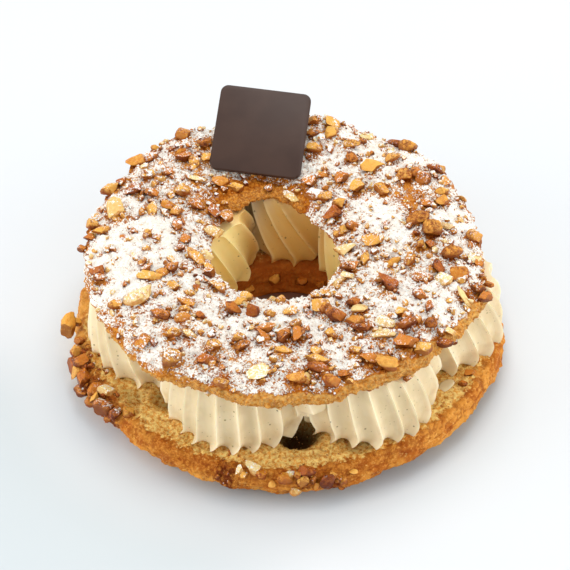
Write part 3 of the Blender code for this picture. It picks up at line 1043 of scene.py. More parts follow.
TOASTED = (
    (-41, 38, 5.0, 3.2, 10, 0.75), (-46, 23.5, 4.8, 4.2, 0, 0.7), (-40, 21.5, 4.2, 3.4, 10, 0.5),
    (-31.5, 38, 4.2, 3.0, 0, 0.3), (-25, 43, 4.2, 3.4, 20, 0.2), (-26.5, 18.5, 4.8, 4.0, 0, 0.5),
    (-22, 16, 4.2, 3.2, -30, 0.4), (-32, 8.5, 3.6, 3.0, 80, 0.6), (-30, 2.5, 3.6, 2.8, 90, 0.4),
    (-31, -1.5, 3.2, 2.4, 0, 0.4), (-22.5, -9, 3.6, 2.8, 0, 0.6), (-57, 5, 3.2, 2.6, 0, 0.2),
    (-59, 3, 2.8, 2.2, 0, 0.2), (-54.5, -10.5, 3.8, 3.0, 0, 0.4), (-53, -13.5, 3.2, 2.6, 0, 0.4),
    (-40, -11.3, 3.2, 2.4, 0, 0.7), (-33, -10.5, 4.0, 2.6, 10, 0.3), (-15.7, -26, 4.8, 4.4, 0, 0.1),
    (-9.5, -27, 3.6, 3.4, 0, 0.15), (-35.3, -29.5, 5.2, 3.6, -20, 0.2), (-24.2, -29.5, 2.8, 2.0, 0, 0.2),
    (-13, -41.3, 5.2, 2.6, 0, 0.2), (-21.5, -46, 4.8, 3.2, -20, 0.4), (-6.5, -37.7, 5.0, 2.6, -35, 0.2),
    (-0.6, -38, 4.4, 3.6, 80, 0.2), (2.8, -38, 4.4, 3.6, 80, 0.15), (12.8, -29.5, 5.6, 3.6, -10, 0.2),
    (18.2, -24, 3.8, 3.0, 0, 0.2), (20, -34.5, 6.0, 2.2, 0, 0.3), (8.6, -49, 6.4, 3.0, -12, 0.2),
    (15.5, -51, 2.8, 2.2, 0, 0.1), (7.8, 46, 4.2, 2.4, 0, 0.2), (23.2, 45.5, 2.8, 2.2, 0, 0.2),
    (19.5, 36.5, 4.4, 2.6, 110, 0.1), (16, 28.7, 3.8, 3.2, 0, 0.3), (6.5, 28.5, 4.2, 3.2, 0, 0.7),
    (7.5, 24.5, 5.6, 4.2, 10, 0.9), (13.2, 14.5, 5.2, 3.8, 35, 0.1), (19, 9.3, 3.6, 2.8, 0, 0.4),
    (17.5, -8, 5.2, 4.0, 10, 0.4), (32, 45, 4.6, 2.8, -10, 0.2), (38, 29.3, 3.6, 3.2, 0, 0.05),
    (40.3, 27.5, 4.2, 3.6, -20, 0.35), (43.5, 32.5, 4.2, 2.8, 0, 0.3), (41.3, 16.3, 4.0, 2.4, 0, 0.5),
    (37, 3, 2.2, 1.8, 0, 0.2), (40.6, -1, 2.8, 2.4, 70, 0.1), (42.2, -10.3, 4.8, 3.0, 100, 0.1),
    (37.5, -14, 5.8, 3.4, -5, 0.7), (27.8, -17.5, 6.4, 4.2, -15, 0.15), (36.8, -21.5, 4.2, 2.8, -30, 0.4),
    (39, -26, 3.2, 2.4, 60, 0.4), (53.5, -16.5, 4.2, 3.2, -30, 0.5), (55, -19, 4.2, 3.0, -20, 0.1),
    (54.5, -6, 2.8, 2.0, 0, 0.2), (32, -32.8, 6.2, 3.0, 15, 0.3), (33.5, -30, 3.2, 2.4, 60, 0.5),
    (39.4, -31.5, 3.4, 2.8, -30, 0.1), (32.5, -39.3, 6.6, 3.8, 0, 0.2), (22, -46, 5.2, 2.6, -30, 0.3),
    (43, -35, 5.0, 2.6, 10, 0.3), (-49, 29.5, 3.0, 2.4, 0, 0.4), (-36, 30.5, 3.2, 2.4, 30, 0.5),
)
ALMOND = (
    (-27, 29, 5.2, 2.4, 0, 0.5), (-22.5, 10, 7.0, 4.4, -35, 0.5), (-23.5, -1, 4.2, 3.0, -20, 0.5),
    (-51, 14, 6.4, 5.0, 60, 0.3), (-41.5, -22.5, 8.4, 5.0, 20, 0.3), (-27, -36.5, 4.4, 3.6, 0, 0.3),
    (-4.3, -20, 3.4, 2.6, 70, 0.2), (20, -27.5, 4.8, 3.6, 50, 0.1), (13.4, -27.3, 2.8, 2.2, 0, 0.5),
    (15, -13.5, 5.2, 3.2, 20, 0.5), (17, -12.3, 4.2, 2.8, 10, 0.4), (-8, -50.5, 6.2, 4.8, 30, 0.6),
    (4.8, -52.3, 3.4, 2.8, 80, 0.2), (24, 48.5, 3.8, 2.8, 0, 0.5), (1, 24.3, 5.2, 3.4, -40, 0.4),
    (16.5, 1.5, 7.2, 4.0, -45, 0.4), (46.3, 8, 3.8, 2.6, -20, 0.4), (51.5, 22, 4.2, 3.4, 60, 0.5),
    (53.5, -4.5, 3.8, 3.0, 0, 0.4), (49.5, -20.5, 6.2, 3.6, -45, 0.05), (27, -32, 5.2, 3.4, -10, 0.6),
    (26.3, -36.5, 6.2, 3.8, -10, 0.5), (45, -32.5, 3.4, 2.6, 0, 0.4), (-56.8, 6.3, 3.2, 3.0, 0, 0.5),
    (44, -15, 5.0, 4.2, 0, 0.7),
)
HAZEL = (
    (-31.3, -45, 5.2, 4.6, 20, 0.45), (36.5, 41.5, 5.4, 4.4, 10, 0.1), (37.8, 10.3, 6.4, 4.4, 10, 0.05),
    (42, 4, 5.4, 4.8, 0, 0.0), (46.6, -5, 5.8, 4.6, -10, 0.0), (10, -27, 3.6, 3.4, 0, 0.1),
)
LARGE_NUTS = (*AMBER, *TOASTED, *ALMOND, *HAZEL)
print(len(LARGE_NUTS), "large nuts on the lid")

# %% [markdown]
# ## The lid
# The lid is the upper half of the ring, baked lumpy under its nuts. Its top carries the sugar, its torn lower
# edge shows golden crumb, and the slope behind the hole a browner one, darker also as painted shade under the
# plaque. Where the sugar fell thickly or missed is laid out as soft spots on the top, in millimetres to the
# right and to the back of the ring's middle.

# %% Where sugar lies and where it is missing
# to the right, to the back, radius, more or less sugar
SUGAR_SPOTS = (
    (-48, -6, 17, 0.38),
    (-8, -31, 9, 0.30),
    (4, -30, 8, 0.15),
    (38, -26, 8, 0.30),
    (44, 12, 7, 0.28),
    (30, 12, 8, 0.22),
    (30, 34, 8, 0.30),
    (24, 42, 7, 0.20),
    (48, -9, 6, 0.12),
    (-44, 8, 8, 0.20),
    (36, 19, 6, -0.75),
    (-9, 24, 7, -0.75),
    (-17, 24, 6, -0.55),
    (1, 20, 5, -0.45),
    (2, 25, 5, -0.60),
    # this bare patch under the plaque's lower edge is also the plaque's painted shadow
    (-8, 31, 7, -0.45),
    (-47, 11, 4, -0.60),
    (-31, 40, 12, -0.16),
    (-46, 26, 9, -0.12),
    (-24, 22, 8, -0.20),
    (-2, -44, 9, -0.14),
    (22, -38, 8, -0.10),
    (-52, -13, 4, -0.30),
    (-57, -15, 4, -0.30),
    (-47, -32, 5, -0.40),
    (-20, -47, 8, -0.18),
    (38, -42, 8, -0.25),
    (3, -56, 7, -0.12),
    (26, -52, 8, -0.25),
)
SUGAR_LEVEL = 0.78  # where no spot says more or less
# bearing, width, millimetres up: swellings along the back of the top, and the brim at the hole's front
BACK_SWELLS = ((-148, 22, 1.9), (170, 14, 3.2), (133, 13, 2.4))
HOLE_BRIM = ((2, 42, 0.7),)


def sugar_at(x, y):
    """How much sugar lies at a place on the top, in millimetres from the ring's axis."""
    amount = SUGAR_LEVEL + 0 * x
    for right, back, radius, more in SUGAR_SPOTS:
        amount = amount + more * np.exp(-((x - right) ** 2 + (y - back) ** 2) / radius**2)
    return amount


def baked_in(x, y):
    """How near a nut is, 0 to 1; a nut under sugar counts less."""
    near = 0 * x
    for right, back, length, width, _, dust in LARGE_NUTS:
        reach = (length + width) / 4 + 0.9
        share = np.exp(-(((x - right) ** 2 + (y - back) ** 2) / reach**2))
        near = np.maximum(near, share * (1 - 0.6 * dust))
    return near


print(len(SUGAR_SPOTS), "places with more or less sugar")

# %% Baking the lid
LID_AROUND = 700  # points round the ring


def wander(bearing, radius, size, seed):
    """An uneven line round the ring, from about -0.5 to 0.5, with waves of this size in millimetres."""
    angles = np.radians(bearing)
    right, back = radius / size * np.sin(angles), radius / size * np.cos(angles)
    rows = np.stack([right, back, seed + 0 * angles], axis=-1)
    return np.array([noise.noise(Vector(row)) for row in rows])


def lid_section(bearing):
    """The lid's section in millimetres: share of the way across, height, and steps to the next point."""
    dip = bumps(bearing, LID_RIM_DIPS) + 1.1 * wander(bearing, LID_RADIUS, 4.5, 3)
    fray = 0.022 * wander(bearing, LID_RADIUS, 3.2, 9)
    hollow = bumps(bearing, LID_HOLLOWS)
    brim = bumps(bearing, HOLE_BRIM)
    under = [(share, lid_underside(bearing, share), 5) for share in (0.03, 0.25, 0.5, 0.75, 0.96)]
    outer = [
        (1.00 + fray, LID_RIM + 1.4 + dip, 5),
        (0.992 + fray / 2, LID_RIM + 3.2 + dip / 2, 8),
        (0.93, LID_CREST - 2.1, 9),
        (0.82, LID_CREST - 0.7, 15),
    ]
    top = [
        (0.63, LID_CREST + 0.2 * hollow, 15),
        (0.42, LID_CREST - 0.2 + 0.8 * hollow, 14),
        (0.22, LID_CREST - 1.3 + hollow + 0.2 * brim, 10),
        (0.07 - 0.03 * brim, LID_CREST - 2.9 + 0.6 * hollow + 0.9 * brim, 8),
        (-0.035 * brim, LID_CREST - 4.6 + 0.6 * brim, 6),
    ]
    return [*under, *outer, *top]


def bake_lid():
    """Lofts the lid, marks on its points where it is torn, sugared, toasted and nutty, and roughens it."""
    bearings = np.arange(LID_AROUND) * 360 / LID_AROUND
    inner = lid_inner(bearings)
    width = lid_outer(bearings) - inner
    rows = lid_section(bearings)
    controls = [np.stack([inner + width * share, z + 0 * bearings], axis=-1) for share, z, _ in rows]
    steps = [count for _, _, count in rows]
    section = smooth_closed(controls, steps)
    mesh = ring_mesh("lid", section, bearings)
    radius, height = section[..., 0], section[..., 1]
    across = (radius - inner) / width
    angle = np.radians(bearings)
    x, y = radius * np.sin(angle), -radius * np.cos(angle)
    row = np.arange(len(section))[:, None] + 0 * x
    is_under = row < sum(steps[:4])  # the section starts with the underside
    # the torn edge is widest at the front and the right, and shows again behind the hole
    front = soft(np.cos(np.radians(away(bearings, 22))), 0.45, 0.85)
    uneven = across + 0.045 * wander(bearings, LID_RADIUS, 5.0, 21)
    edge = soft(uneven, 0.965 - 0.025 * front, 0.995 - 0.02 * front) * (0.3 + 0.5 * front)
    behind = soft(np.cos(np.radians(away(bearings, -165))), 0.80, 0.95)
    slope = soft(across, 0.20, 0.06) * behind
    low = soft(LID_RIM + 2.5 + front - height, 0.0, 1.5)
    torn = np.clip(np.maximum(np.maximum(edge, 0.8 * slope), low), 0, 1)
    nuts = baked_in(x, y) * ~is_under
    # no sugar lies on the underside, and little on what is torn or close to a nut
    paint_points(mesh, "sugar", np.where(is_under, 0, sugar_at(x, y)) - 1.0 * torn - 0.9 * nuts)
    paint_points(mesh, "torn", torn)
    paint_points(mesh, "cut", 0.5 * torn)
    # the dark ring round each nut is partly caramel and partly painted shade where the nut meets the crust
    paint_points(mesh, "caramel", nuts)
    # behind the hole the crust is painted browner, as toasting and as painted shade under the plaque
    paint_points(mesh, "toasted", np.clip(1.3 * soft(across, 0.40, 0.15) * behind + 0.38 + 0.3 * torn, 0, 1))
    back = bumps(bearings, BACK_SWELLS) * soft(across, 0.35, 0.85) * ~is_under
    paint_points(mesh, "lift", (0.7 * nuts + back) * MM)
    paint_points(mesh, "free", np.where(is_under, 0.12, 1.0))
    topping = soft(across, 0.02, 0.10) * (1 - soft(across, 0.96, 1.0)) * (1 - is_under)
    paint_points(mesh, "topping", topping * (1 - 0.5 * torn))
    values = {
        "Lump size": 5.0 * MM,
        "Lump height": 2.4 * MM,
        "Wrinkle size": 2.6 * MM,
        "Wrinkle height": 1.1 * MM,
        "Crumb size": 1.3 * MM,
        "Crumb height": 1.4 * MM,
        "Pore size": 1.2 * MM,
        "Pore depth": 0.4 * MM,
        "Seed": 7.0,
        "Finish": lid_finish,
    }
    return run_tree("lid_crust", relief, values, mesh)


lid_crust = keep(bake_lid(), "sugared_choux", "choux_lid")

# %% [markdown]
# ## The piped cream
# A star nozzle leaves sharp ridges with hollow flutes between them, and turning the bag twists them. One tree
# pipes every mound: a drum of points is swollen and fluted by rule, twisted from top to foot, flattened where
# it meets its neighbours, and raised until it nearly touches the lid, which it finds with a ray. The same
# tree pipes the narrow ridge that is squeezed out between the two front mounds.

# %% Each mound's place and twist
# bearing, distance of the middle from the axis, radius of the ridges, twist in degrees from top to foot
MOUNDS = (
    (-22, 38.0, 20.6, 3),
    (33, 39.0, 21.2, 16),
    (84, 41.6, 22.0, 24),
    (130, 37.5, 20.8, 28),
    (174, 40.5, 20.6, 46),
    (232, 38.0, 21.0, 30),
    (285, 39.0, 20.8, 26),
)
RIDGES = (21, 21, 21, 19, 16, 17, 20)
# where the two front mounds are pressed together, a narrow ridge is squeezed out between them:
# bearing, distance, radius, twist, height of its foot
SQUEEZED = (5.0, 46.4, 4.4, 30, 20.5)
# share of the height, share of the radius
MOUND_SIZE = (
    (0.0, 0.985), (0.06, 1.0), (0.18, 1.005), (0.40, 0.99),
    (0.63, 0.955), (0.83, 0.905), (1.0, 0.84),
)
# share of the height, depth of the flutes as a share of the radius
MOUND_FLUTES = (
    (0.0, 0.150), (0.06, 0.125), (0.18, 0.105), (0.40, 0.095),
    (0.63, 0.088), (0.83, 0.076), (1.0, 0.062),
)
CREAM_GAP = 0.3  # above the base
CREAM_PRESS = 1.0  # how far neighbours are pressed into each other under the lid
ROOF_GAP = 0.35  # below the lid
print(len(MOUNDS), "mounds with", sum(RIDGES), "ridges in all")


def roof_sheet():
    """The lid's underside, carried on past both its edges, which the mounds are raised up to."""
    bearings = np.arange(0, 360, 4.0)
    inner, outer = lid_inner(bearings), lid_outer(bearings)
    shares = np.concatenate([[-0.35], np.linspace(0, 1, 15), [1.25]])
    angle = np.radians(bearings)
    points, faces = [], []
    for share in shares:
        radius = inner + (outer - inner) * share
        height = lid_underside(bearings, np.clip(share, 0, 1))
        points += np.stack([radius * np.sin(angle), -radius * np.cos(angle), height], axis=-1).tolist()
    count = len(bearings)
    for row in range(len(shares) - 1):
        for i in range(count):
            after = (i + 1) % count
            first, following = row * count, (row + 1) * count
            faces.append([first + i, first + after, following + after, following + i])
    mesh = bpy.data.meshes.new("roof")
    mesh.from_pydata([[value * MM for value in point] for point in points], [], faces)
    made = bpy.data.objects.new("roof", mesh)
    bpy.context.collection.objects.link(made)
    return made


def mound_middle(index):
    """A mound's middle on the table, in metres; the numbers run on round the ring."""
    bearing, distance = MOUNDS[index % len(MOUNDS)][:2]
    angle = math.radians(bearing)
    return Vector((math.sin(angle), -math.cos(angle), 0)) * distance * MM


def room_towards(index, neighbour):
    """The way to a neighbouring mound, and how far this one spreads before they meet."""
    span = mound_middle(neighbour) - mound_middle(index)
    radius = MOUNDS[index][2] * MM
    other = MOUNDS[neighbour % len(MOUNDS)][2] * MM
    distance = (span.length_squared + radius**2 - other**2) / (2 * span.length)
    return span.normalized(), distance + CREAM_PRESS * MM / 2


# %% The piping tree
def piping_tree():
    """Pipes one fluted mound up to a roof."""
    inputs = (
        ("Middle", "Vector"),
        ("Radius", "Float"),
        ("Foot", "Float"),
        ("Twist", "Float"),
        ("Curl", "Float"),
        ("Ridges", "Int"),
        ("Columns per ridge", "Int"),
        ("Rings", "Int"),
        ("Flutes", "Float"),
        ("Towards one", "Vector"),
        ("Room one", "Float"),
        ("Towards other", "Vector"),
        ("Room other", "Float"),
        ("Roof", "Object"),
        ("Roof gap", "Float"),
        ("Parting", "Float"),
        ("Squeeze", "Float"),
        ("Unevenness", "Float"),
        ("Seed", "Int"),
        ("Finish", "Material"),
    )
    bench = geometry_bench("piped mound", inputs)
    given = bench.given
    sockets = {
        "Vertices": given["Ridges"] * given["Columns per ridge"],
        "Side Segments": given["Rings"],
        "Fill Segments": 7,
        "Radius": 1.0,
        "Depth": 1.0,
    }
    drum = bench.node("GeometryNodeMeshCylinder", {"fill_type": "TRIANGLE_FAN"}, sockets)
    x, y, z = bench.split(bench.node("GeometryNodeInputPosition"))
    share = z + 0.5
    rim = bench.maths("MINIMUM", bench.maths("SQRT", x * x + y * y), 1.0)
    bearing = bench.maths("ARCTAN2", y, x)
    # which ridge a point is next to, and how far it is on the way to the following one
    turn = (bearing / math.tau + 1) * given["Ridges"] + 0.0001
    ridge = bench.maths("FLOOR", turn)
    way_on = turn - ridge

    def luck(seed, low, high):
        """A number of its own for every ridge, going over from one ridge to the next."""
        parts = []
        for ahead in (0, 1):
            which = bench.maths("FLOORED_MODULO", ridge + ahead, given["Ridges"])
            sockets = {2: low, 3: high, "ID": which, "Seed": given["Seed"] + seed}
            parts.append(bench.node("FunctionNodeRandomValue", {"data_type": "FLOAT"}, sockets, 1))
        return parts[0] * (1 - way_on) + parts[1] * way_on

    reach = luck(0, -0.028, 0.022)
    drift = luck(50, -0.04, 0.04)
    hollow = 1 - bench.maths("ABSOLUTE", 1 - 2 * way_on) ** 2.8
    # the ridges' crests and the flutes are noted while the drum is still round, where the finish paints
    #     highlights and shade; both fade out at its ends
    along = bench.step(share, 0.0, 0.12) * bench.step(share, 1.0, 0.9)
    for name, value in (("crest", bench.step(hollow, 0.5, 0.0)), ("hollow", bench.step(hollow, 0.6, 1.0))):
        drum = bench.node(
            "GeometryNodeStoreNamedAttribute",
            {"data_type": "FLOAT", "domain": "POINT"},
            {"Geometry": drum, "Name": name, "Value": value * along},
        )

    def side(level):
        """Where the side is, seen from above, at this share of the height."""
        size = bench.node("ShaderNodeFloatCurve", {"curve": MOUND_SIZE}, {"Value": level})
        flutes = bench.node("ShaderNodeFloatCurve", {"curve": MOUND_FLUTES}, {"Value": level})
        size = size + reach * (1 - level * 0.6)
        foot = bench.maths("MAXIMUM", 1 - level / 0.2, 0.0) ** 2
        angle = bearing + drift + given["Twist"] * (1 - level) ** 0.8 - given["Curl"] * foot
        out = given["Radius"] * (size - flutes * hollow * given["Flutes"])
        way = bench.join(bench.maths("SINE", angle), bench.maths("COSINE", angle) * -1, 0)
        outwards = bench.vector("DOT_PRODUCT", way, given["Middle"], output="Value")
        outwards = bench.step(outwards, 0.0, 12 * MM)
        for towards, room in (("Towards one", "Room one"), ("Towards other", "Room other")):
            facing = bench.vector("DOT_PRODUCT", way, given[towards], output="Value")
            # above its foot a mound is pressed outwards against its neighbour
            pressed = bench.maths("MAXIMUM", facing, 0.0) ** 2 * bench.step(level, 0.12, 0.40) * outwards
            out = out + given["Squeeze"] * pressed
            apart = given[room] - given["Parting"] * bench.maths("MAXIMUM", 1 - level / 0.35, 0.0) ** 2
            limit = apart / bench.maths("MAXIMUM", facing, 0.02)
            out = bench.maths("SMOOTH_MIN", out, limit, 0.4 * MM)
        return bench.vector("ADD", given["Middle"], bench.scaled(way, out * rim))

    roof = bench.node("GeometryNodeObjectInfo", sockets={"Object": given["Roof"]}, output="Geometry")
    below = bench.vector("ADD", side(1.0), bench.join(0, 0, given["Foot"]))
    sockets = {"Target Geometry": roof, "Source Position": below, "Ray Direction": (0, 0, 1)}
    rise = bench.node("GeometryNodeRaycast", sockets=sockets, output="Hit Distance") - given["Roof gap"]
    place = bench.vector("ADD", side(share), bench.join(0, 0, given["Foot"] + rise * share))
    piped = bench.node("GeometryNodeSetPosition", sockets={"Geometry": drum, "Position": place})
    here = bench.node("GeometryNodeInputPosition")
    wander = bench.vector("ADD", here, bench.join(given["Seed"] * 0.1, 0, 0))
    slow = bench.node("ShaderNodeTexNoise", sockets={"Vector": wander, "Scale": 220.0, "Detail": 1.0})
    quick = bench.node("ShaderNodeTexNoise", sockets={"Vector": wander, "Scale": 900.0, "Detail": 2.0})
    swell = ((slow - 0.5) + (quick - 0.5) * 0.28) * given["Unevenness"]
    offset = bench.scaled(bench.node("GeometryNodeInputNormal"), swell)
    piped = bench.node("GeometryNodeSetPosition", sockets={"Geometry": piped, "Offset": offset})
    # the points keep how close they are to the axis, where the finish paints the shade of the hole
    right, back, _ = bench.split(bench.node("GeometryNodeInputPosition"))
    from_axis = bench.maths("SQRT", right * right + back * back)
    piped = bench.node(
        "GeometryNodeStoreNamedAttribute",
        {"data_type": "FLOAT", "domain": "POINT"},
        {"Geometry": piped, "Name": "sheltered", "Value": bench.step(from_axis, 32 * MM, 22 * MM)},
    )
    return deliver(bench, piped)


# %% Piping the mounds and the squeezed ridge
def pipe_cream():
    """Pipes the seven mounds, each flattened against both its neighbours, and the squeezed ridge."""
    tree, roof = piping_tree(), roof_sheet()
    for index, (_, _, radius, twist) in enumerate(MOUNDS):
        towards_one, room_one = room_towards(index, index - 1)
        towards_other, room_other = room_towards(index, index + 1)
        values = {
            "Middle": mound_middle(index),
            "Radius": radius * MM,
            "Foot": CUT + CREAM_GAP * MM,
            "Twist": math.radians(twist),
            "Curl": math.radians(7),
            "Ridges": RIDGES[index],
            "Columns per ridge": 12,
            "Rings": 44,
            "Flutes": 1.0,
            "Towards one": towards_one,
            "Room one": room_one,
            "Towards other": towards_other,
            "Room other": room_other,
            "Roof": roof,
            "Roof gap": ROOF_GAP * MM,
            "Parting": 3.0 * MM,
            "Squeeze": 4.0 * MM,
            "Unevenness": 0.5 * MM,
            "Seed": 11 + index,
            "Finish": cream_finish,
        }
        name = f"cream_mound_{index + 1}"
        keep(run_tree(f"piped_{name}", tree, values), "praline_cream", name)
    # what isn't given anew here stays as it was for the last mound
    bearing, distance, radius, twist, foot = SQUEEZED
    angle = math.radians(bearing)
    values["Middle"] = Vector((math.sin(angle), -math.cos(angle), 0)) * distance * MM
    values["Radius"] = radius * MM
    values["Foot"] = foot * MM
    values["Twist"] = math.radians(twist)
    values["Ridges"] = 8
    values["Room one"] = values["Room other"] = 2 * radius * MM
    keep(run_tree("squeezed_cream", tree, values), "praline_cream")
    bpy.data.objects.remove(roof)


pipe_cream()

# %% [markdown]
# ## Chopped nuts
# A chopped nut is a round kernel with a few flat cuts, so each sample is a ball of points with flats pressed
# into it. A few samples of each cut are enough: turned, stretched and tinted, they never look alike.


# %% Samples of chopped nuts
def cut_nut(name, seed, cuts, fineness, unevenness=0.05):
    """One piece of nut, 1 long, 1 wide and 1 high: a lumpy ball with flat cuts. Its points keep where the
    skin is left, 1 on the round parts and 0 on the cuts."""
    luck = random.Random(seed)
    bm = bmesh.new()
    if fineness:
        bmesh.ops.create_icosphere(bm, subdivisions=fineness, radius=0.5)
    else:
        bmesh.ops.create_uvsphere(bm, u_segments=4, v_segments=2, radius=0.5)
    skin = bm.verts.layers.float.new("skin")
    flats = []
    for _ in range(cuts):
        way = Vector([luck.gauss(0, 1) for _ in range(3)]).normalized()
        flats.append((way, luck.uniform(0.22, 0.38)))
    drift = Vector((seed * 1.7, seed * 0.9, 0))
    for point in bm.verts:
        point.co *= 1 + 0.22 * noise.noise(point.co * 2.4 + drift) + 0.08 * noise.noise(point.co * 6 + drift)
        point.co *= 1 + luck.uniform(-unevenness, unevenness)
        point[skin] = 1.0
        for way, depth in flats:
            over = point.co.dot(way) - depth
            if over > 0:
                point.co -= way * over * 0.95
                point[skin] = max(0.0, point[skin] - over * 14)
        point.co *= 1 + 0.09 * noise.noise(point.co * 6.5 - drift)
    low = Vector([min(point.co[axis] for point in bm.verts) for axis in range(3)])
    high = Vector([max(point.co[axis] for point in bm.verts) for axis in range(3)])
    for point in bm.verts:
        point.co = Vector([(point.co[a] - (low[a] + high[a]) / 2) / (high[a] - low[a]) for a in range(3)])
    mesh = bpy.data.meshes.new(name)
    bm.to_mesh(mesh)
    bm.free()
    mesh.shade_smooth()
    mesh.set_sharp_from_angle(angle=math.radians(38))
    return bpy.data.objects.new(name, mesh)


def sample_box(name, count, first_seed, cuts, fineness, unevenness=0.05):
    """A collection of samples, kept out of the scene, for a tree to pick from."""
    box = bpy.data.collections.new(name)
    for number in range(count):
        seed = first_seed + number
        box.objects.link(cut_nut(f"{name}_{number}", seed, cuts[number % len(cuts)], fineness, unevenness))
    return box


fine_chips = sample_box("fine_chips", 12, 100, (3, 4, 5, 6), 3, 0.035)
fine_kernels = sample_box("fine_kernels", 5, 200, (1, 2), 3, 0.02)
small_chips = sample_box("small_chips", 8, 300, (4, 5, 6), 2)
specks_of_crust = sample_box("specks_of_crust", 5, 400, (0,), 0, 0.25)
print(len(bpy.data.collections), "boxes of samples")

# %% [markdown]
# ## Laying the nuts
# The tree drops every large nut onto the crust with a ray, turns it the way its row says, leans it with the
# surface and sinks it a little.


# %% The laying tree
def laying_tree():
    """Drops samples onto a surface along each point's own aim."""
    inputs = (
        ("Surface", "Object"),
        ("Samples", "Collection"),
        ("Sink", "Float"),
        ("Seed", "Int"),
        ("Finish", "Material"),
    )
    bench = geometry_bench("laid nuts", inputs, takes_mesh=True)
    given = bench.given

    def read(name, kind="FLOAT"):
        return bench.node("GeometryNodeInputNamedAttribute", {"data_type": kind}, {"Name": name})

    surface = bench.node("GeometryNodeObjectInfo", sockets={"Object": given["Surface"]}, output="Geometry")
    points = bench.node("GeometryNodeMeshToPoints", sockets={"Mesh": given["Mesh"]})
    sockets = {"Target Geometry": surface, "Ray Direction": read("aim", "FLOAT_VECTOR")}
    ray = bench.node("GeometryNodeRaycast", sockets=sockets, output="Hit Position")
    normal = ray.output("Hit Normal")
    size = read("size", "FLOAT_VECTOR")
    height = bench.split(size)[2]
    raised = bench.scaled(normal, height * (0.5 - given["Sink"]))
    place = bench.vector("ADD", ray, raised)
    # a point whose ray misses the surface gets no nut
    points = bench.node(
        "GeometryNodeStoreNamedAttribute",
        {"data_type": "BOOLEAN", "domain": "POINT"},
        {"Geometry": points, "Name": "landed", "Value": ray.output("Is Hit")},
    )
    points = bench.node("GeometryNodeSetPosition", sockets={"Geometry": points, "Position": place})
    sockets = {2: 0.0, 3: 1.0, "Seed": given["Seed"]}
    tint = bench.node("FunctionNodeRandomValue", {"data_type": "FLOAT"}, sockets, 1)
    points = bench.node(
        "GeometryNodeStoreNamedAttribute",
        {"data_type": "FLOAT", "domain": "POINT"},
        {"Geometry": points, "Name": "tint", "Value": tint},
    )
    points = bench.node(
        "GeometryNodeStoreNamedAttribute",
        {"data_type": "FLOAT_VECTOR", "domain": "POINT"},
        {"Geometry": points, "Name": "lean", "Value": normal},
    )
    sockets = {0: (-0.35, -0.35, 0.0), 1: (0.35, 0.35, 0.0), "Seed": given["Seed"] + 1}
    rock = bench.node("FunctionNodeRandomValue", {"data_type": "FLOAT_VECTOR"}, sockets)
    turn = bench.vector("ADD", rock, bench.join(0, 0, read("turn")))
    rotation = bench.node("FunctionNodeEulerToRotation", sockets={"Euler": turn})
    sockets = {"Rotation": rotation, "Factor": 0.8, "Vector": read("lean", "FLOAT_VECTOR")}
    rotation = bench.node("FunctionNodeAlignRotationToVector", {"axis": "Z"}, sockets)
    samples = bench.node(
        "GeometryNodeCollectionInfo",
        sockets={"Collection": given["Samples"], "Separate Children": True, "Reset Children": True},
    )
    sockets = {
        "Points": points,
        "Selection": read("landed", "BOOLEAN"),
        "Instance": samples,
        "Pick Instance": True,
        "Rotation": rotation,
        "Scale": size,
    }
    return deliver(bench, bench.node("GeometryNodeInstanceOnPoints", sockets=sockets))


laying = laying_tree()


def point_cloud(name, rows):
    """Points with an aim, a size, a turn and a share of sugar, from rows of those."""
    mesh = bpy.data.meshes.new(name)
    mesh.from_pydata([row["from"] for row in rows], [], [])
    for label in ("aim", "size"):
        layer = mesh.attributes.new(label, "FLOAT_VECTOR", "POINT")
        layer.data.foreach_set("vector", [value for row in rows for value in row[label]])
    for label in ("turn", "dust"):
        paint_points(mesh, label, [row[label] for row in rows])
    return mesh


FULLER = 1.15  # a cut nut fills less than its box, so each is laid a little larger than it looks
RAY_START = 80 * MM  # well above the lid


def lay_on_top(
    name, rows, samples, finish, seed, flatness=0.8, sink=0.22, on=lid_crust, slot="sugared_choux"
):
    """Lays rows of nuts from above, on the lid if not told otherwise."""
    luck = random.Random(seed)
    cloud = []
    for right, back, length, width, turn, dust in rows:
        height = width * flatness * luck.uniform(0.85, 1.15)
        cloud.append(
            {
                "from": (right * MM, back * MM, RAY_START),
                "aim": (0, 0, -1),
                "size": (length * FULLER * MM, width * FULLER * MM, height * FULLER * MM),
                "turn": math.radians(turn),
                "dust": dust,
            }
        )
    values = {"Surface": on, "Samples": samples, "Sink": sink, "Seed": seed, "Finish": finish}
    return keep(run_tree(name, laying, values, point_cloud(name, cloud)), slot)


lay_on_top("amber_nuts", AMBER, fine_chips, nut_finishes["amber"], 21)
lay_on_top("toasted_nuts", TOASTED, fine_chips, nut_finishes["toasted"], 22)
lay_on_top("almond_flakes", ALMOND, fine_chips, nut_finishes["almond"], 23, flatness=0.38)
lay_on_top("hazel_kernels", HAZEL, fine_kernels, nut_finishes["hazel"], 24, sink=0.15)

# %% [markdown]
# ## Small chips, crumbs and grains
# Between the large nuts lie hundreds of small chips and thousands of grains of sugar, and crumbs stick to the
# torn edges. Their place doesn't matter one by one, so a tree strews them by a number that is stored on the
# crust's points.


